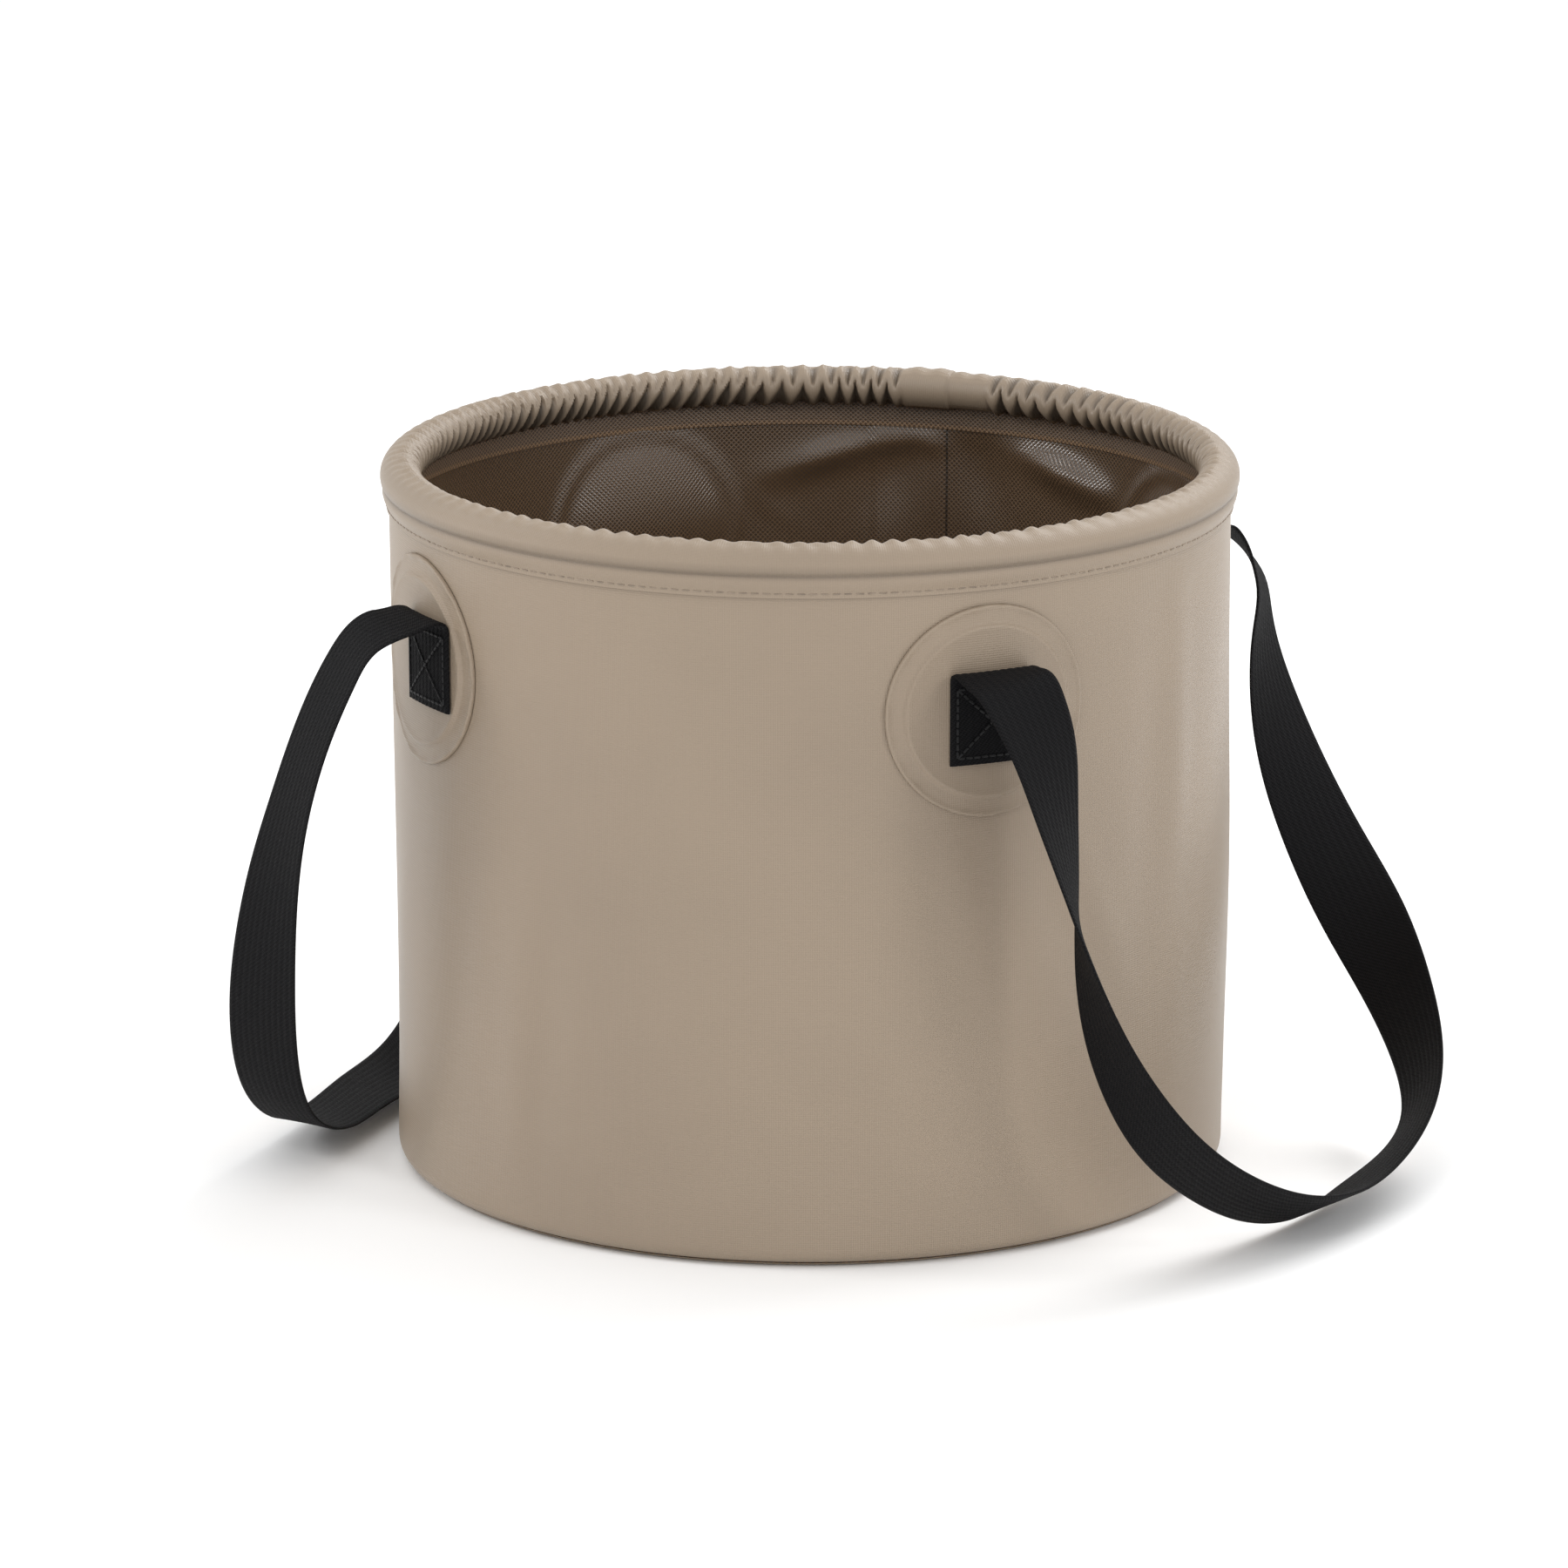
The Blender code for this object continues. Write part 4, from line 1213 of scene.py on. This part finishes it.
class BUCKET_OT_straps(bpy.types.Operator):
    """Two carrying straps of ribbed webbing, each with its bends beside the tabs and its loop."""

    bl_idname = "bucket.straps"
    bl_label = "Straps"

    top_stations = 19
    side_stations = 17
    loop_stations = 190
    least_blend = 0.002

    def bend(self, name, route, stations, bodies, node):
        """One stretch of a fold, as webbing along its own length, curved to the wall near the
        strap's ends.
        """
        middles, widths, normals = route(stations)
        gone = np.minimum(stations, self.length - stations)
        curve = 0.5 / wall_top_radius * fade(gone, 0.010, 0.0)
        facing = (normals[:, :2] * unit(middles[:, :2])).sum(axis=1)
        piece = webbing_piece(name, middles, widths, normals, stations, sag=curve * facing)
        way = unit(middles[-1:] - middles[:1])[0]
        start = middles[0] @ way + webbing_width / 2 * abs(widths[0] @ way)
        end = middles[-1] @ way - webbing_width / 2 * abs(widths[-1] @ way)
        if end - start < self.least_blend:
            centre = (start + end) / 2
            start, end = centre - self.least_blend / 2, centre + self.least_blend / 2
        if node:
            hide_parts(node)
        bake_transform(piece)

    def strap(self, side_name, side, shares):
        _, tab_bearing, rear_height = corners[f"rear_{side_name}"]
        bearing = math.radians(tab_bearing if side > 0 else 180 - tab_bearing)
        fold_heights = (corners[f"front_{side_name}"][2], rear_height)
        route, self.length = strap_route(shares, side, bearing, fold_heights)
        half = bend_length / 2
        near = np.linspace(0.0, half, self.top_stations)
        far = np.linspace(half, bend_length, self.side_stations)
        loop = np.linspace(bend_length, self.length - bend_length, self.loop_stations)
        fold_body, strap_body = f"{side_name}_fold", f"{side_name}_strap"
        for end in (f"front_{side_name}", f"rear_{side_name}"):
            top_bodies, side_bodies = ("upper", fold_body), (fold_body, strap_body)
            self.bend(f"{end}_fold_top", route, near, top_bodies, f"{end}_strap_bend")
            self.bend(f"{end}_fold_side", route, far, side_bodies, None)
            near, far = self.length - near, self.length - far
        piece = webbing_piece(f"{side_name}_carry_loop", *route(loop), loop)
        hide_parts(f"{side_name}_strap_loop")
        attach(piece, strap_body)

    def execute(self, context):
        self.strap("right", 1, right_route_shares)
        self.strap("left", -1, left_route_shares)
        return {"FINISHED"}


class BUCKET_OT_tabs(bpy.types.Operator):
    """Sewn ends of the straps on the patches, each with its box of stitches and a cross."""

    bl_idname = "bucket.tabs"
    bl_label = "Tabs"

    stations = 30
    stitch_size = (0.0022, 0.0009, 0.0006)
    stitch_pitch = 0.0027
    stitch_margin = 0.0026
    look_ahead = 0.0005

    def execute(self, context):
        thread_colour = shade(colours().webbing, 1.1)[:3]
        thread = shared("black_thread", twisted_thread, thread_colour)
        for corner, (_, bearing, fold_height) in corners.items():
            heights = np.linspace(fold_height - tab_height, fold_height, self.stations)
            angle = math.radians(bearing)
            radius = wall_radius(heights) + tab_face + webbing_thickness / 2
            out = np.array((math.cos(angle), math.sin(angle), 0.0))
            middles = radius[:, None] * out + heights[:, None] * np.array((0, 0, 1.0))
            widths = np.tile((-math.sin(angle), math.cos(angle), 0.0), (self.stations, 1))
            normals = np.tile(out, (self.stations, 1))
            sag = 0.5 / wall_top_radius
            tab = webbing_piece(f"{corner}_sewn_tab", middles, widths, normals, heights, sag)
            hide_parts(f"{corner}_strap_tab")
            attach(tab, "upper")
            frames = [*self.stitch_places(bearing, fold_height)]
            stitches = laid_stitches(f"{corner}_tab_stitches", frames, *self.stitch_size, thread)
            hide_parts(f"{corner}_box_stitch")
            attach(stitches, "upper")
        return {"FINISHED"}

    def stitch_places(self, bearing, fold_height):
        """Place, along, across and out of each stitch of a box and its two diagonals."""
        half_width = webbing_width / 2 - self.stitch_margin
        half_height = tab_height / 2 - self.stitch_margin
        signs = ((-1, -1), (1, -1), (1, 1), (-1, 1))
        box = [Vector((half_width * x, half_height * y)) for x, y in signs]
        ends = ((0, 1), (1, 2), (2, 3), (3, 0), (0, 2), (1, 3))
        middle = fold_height - tab_height / 2
        face = np.full(2, tab_face + webbing_thickness + 0.1 * mm)
        for start, end in ((box[first], box[last]) for first, last in ends):
            count = round((end - start).length / self.stitch_pitch)
            for index in range(count):
                place = start.lerp(end, (index + 0.5) / count)
                ahead = place + (end - start).normalized() * self.look_ahead
                across, up = np.array((place, ahead)).T
                spot, tip = on_wall(bearing, across, middle + up, face)
                along = (tip - spot) / np.linalg.norm(tip - spot)
                out = np.array((spot[0], spot[1], 0.0)) / math.hypot(spot[0], spot[1])
                yield spot, along, np.cross(out, along), out


class BUCKET_OT_plastics(bpy.types.Operator):
    """Finishes of the hidden plastic parts: the hoop, its joiner and the backing discs."""

    bl_idname = "bucket.plastics"
    bl_label = "Hidden plastics"

    def execute(self, context):
        hoop = shared("hoop_plastic", moulded_plastic, colours().plastic, 0.38)
        joiner = shared("joiner_plastic", moulded_plastic, shade(colours().plastic, 2.0)[:3], 0.45)
        backing = shared("backing_plastic", moulded_plastic, shade(colours().inside, 1.3)[:3], 0.55)
        finishes = {"rim_hoop": hoop, "hoop_joiner": joiner}
        finishes.update({f"{corner}_backing": backing for corner in corners})
        for node, material in finishes.items():
            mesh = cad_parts[node].data
            mesh.materials.clear()
            mesh.materials.append(material)
        return {"FINISHED"}


class BUCKET_OT_stage(bpy.types.Operator):
    """White floor, soft studio light and the camera at the photograph's viewing angle."""

    bl_idname = "bucket.stage"
    bl_label = "Studio"

    camera_distance = 3.0
    camera_aim = 0.132
    camera_azimuth = math.radians(20)
    camera_elevation = math.radians(14.75)
    frame_pixels = 1800
    focal_pixels = 9768
    sensor = 36.0
    axis_pixel = 929.8
    floor_size = 12
    world_strength = 0.94

    # Name, place, height of the aim, width, depth and power of each light
    lamps = (
        ("key_light", (0.2, -0.9, 2.3), 0.1, 1.8, 1.2, 3.5),
        ("back_light", (0.5, 1.3, 1.5), 0.2, 1.4, 0.7, 16),
        ("front_light", (0.1, -1.9, 1.75), 0.2, 0.45, 0.35, 4),
        ("left_light", (-1.9, -0.5, 1.1), 0.12, 0.5, 0.5, 9),
        ("right_light", (1.65, -0.5, 1.0), 0.15, 0.36, 0.36, 4.5),
    )

    def execute(self, context):
        self.floor()
        self.world(context.scene)
        for lamp in self.lamps:
            self.light(context.scene, *lamp)
        self.camera(context.scene)
        return {"FINISHED"}

    def floor(self):
        deselect()
        place = (0, 0, -fit_gap)
        bpy.ops.mesh.primitive_grid_add(
            x_subdivisions=8, y_subdivisions=8, size=self.floor_size, location=place
        )
        floor = bpy.context.object
        floor.name = floor.data.name = "studio_floor"
        apply_place()
        material, tree, shader, _, place = start_material("studio_paper", 0.9, 0.1)
        tone = cloud(tree, place, 3.0)
        paper = colours().paper
        dress(tree, shader, blended(tree, tone, shade(paper, 0.995), shade(paper, 1.005)))
        floor.data.materials.append(material)
        floor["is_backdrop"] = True

    def world(self, scene):
        scene.world = bpy.data.worlds.new("studio_world")
        scene.world.use_nodes = True
        background = scene.world.node_tree.nodes["Background"].inputs
        background["Color"].default_value = (1, 1, 1, 1)
        background["Strength"].default_value = self.world_strength

    def light(self, scene, name, place, aim_height, width, depth, power):
        data = bpy.data.lights.new(name, "AREA")
        data.shape = "RECTANGLE"
        data.size, data.size_y, data.energy = width, depth, power
        lamp = bpy.data.objects.new(name, data)
        scene.collection.objects.link(lamp)
        lamp.location = place
        way = Vector((0, 0, aim_height)) - Vector(place)
        lamp.rotation_euler = way.to_track_quat("-Z", "Y").to_euler()

    def camera(self, scene):
        data = bpy.data.cameras.new("photo_camera")
        data.sensor_width = self.sensor
        data.lens = self.sensor * self.focal_pixels / self.frame_pixels
        data.shift_x = -(self.axis_pixel - self.frame_pixels / 2) / self.frame_pixels
        data.clip_end = 50
        camera = bpy.data.objects.new("photo_camera", data)
        scene.collection.objects.link(camera)
        flat = self.camera_distance * math.cos(self.camera_elevation)
        camera.location = (
            flat * math.sin(self.camera_azimuth),
            -flat * math.cos(self.camera_azimuth),
            self.camera_aim + self.camera_distance * math.sin(self.camera_elevation),
        )
        camera.rotation_euler = (math.pi / 2 - self.camera_elevation, 0, self.camera_azimuth)
        scene.camera = camera
        scene.view_settings.view_transform = "Standard"
        scene.view_settings.look = "None"


steps = (
    BUCKET_OT_stage,
    BUCKET_OT_wall,
    BUCKET_OT_floor_panel,
    BUCKET_OT_rim,
    BUCKET_OT_rim_seam,
    BUCKET_OT_patches,
    BUCKET_OT_tabs,
    BUCKET_OT_straps,
    BUCKET_OT_plastics,
)


class BUCKET_PT_panel(bpy.types.Panel):
    """Lists the bucket's sizes, colours and steps."""

    bl_idname = "BUCKET_PT_panel"
    bl_label = "Camp bucket"
    bl_space_type = "VIEW_3D"
    bl_region_type = "UI"
    bl_category = "Camp bucket"

    def draw(self, context):
        for group in (context.scene.bucket_sizes, context.scene.bucket_colours):
            box = self.layout.box()
            for name in group.__annotations__:
                box.prop(group, name)
        for step in steps:
            self.layout.operator(step.bl_idname)


classes = (BucketSizes, BucketColours, *steps, BUCKET_PT_panel)


def register():
    for item in classes:
        bpy.utils.register_class(item)
    bpy.types.Scene.bucket_sizes = bpy.props.PointerProperty(type=BucketSizes)
    bpy.types.Scene.bucket_colours = bpy.props.PointerProperty(type=BucketColours)


def unregister():
    del bpy.types.Scene.bucket_colours
    del bpy.types.Scene.bucket_sizes
    for item in reversed(classes):
        bpy.utils.unregister_class(item)


def plain(box):
    return [list(corner) for corner in box]


def main():
    register()
    bpy.ops.bucket.stage()
    bpy.ops.bucket.wall()
    bpy.ops.bucket.floor_panel()
    bpy.ops.bucket.rim()
    bpy.ops.bucket.rim_seam()
    bpy.ops.bucket.patches()
    bpy.ops.bucket.tabs()
    bpy.ops.bucket.straps()
    bpy.ops.bucket.plastics()
    {"cad": plain(cad_box), "visual": plain(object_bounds())}


if __name__ == "__main__":
    main()
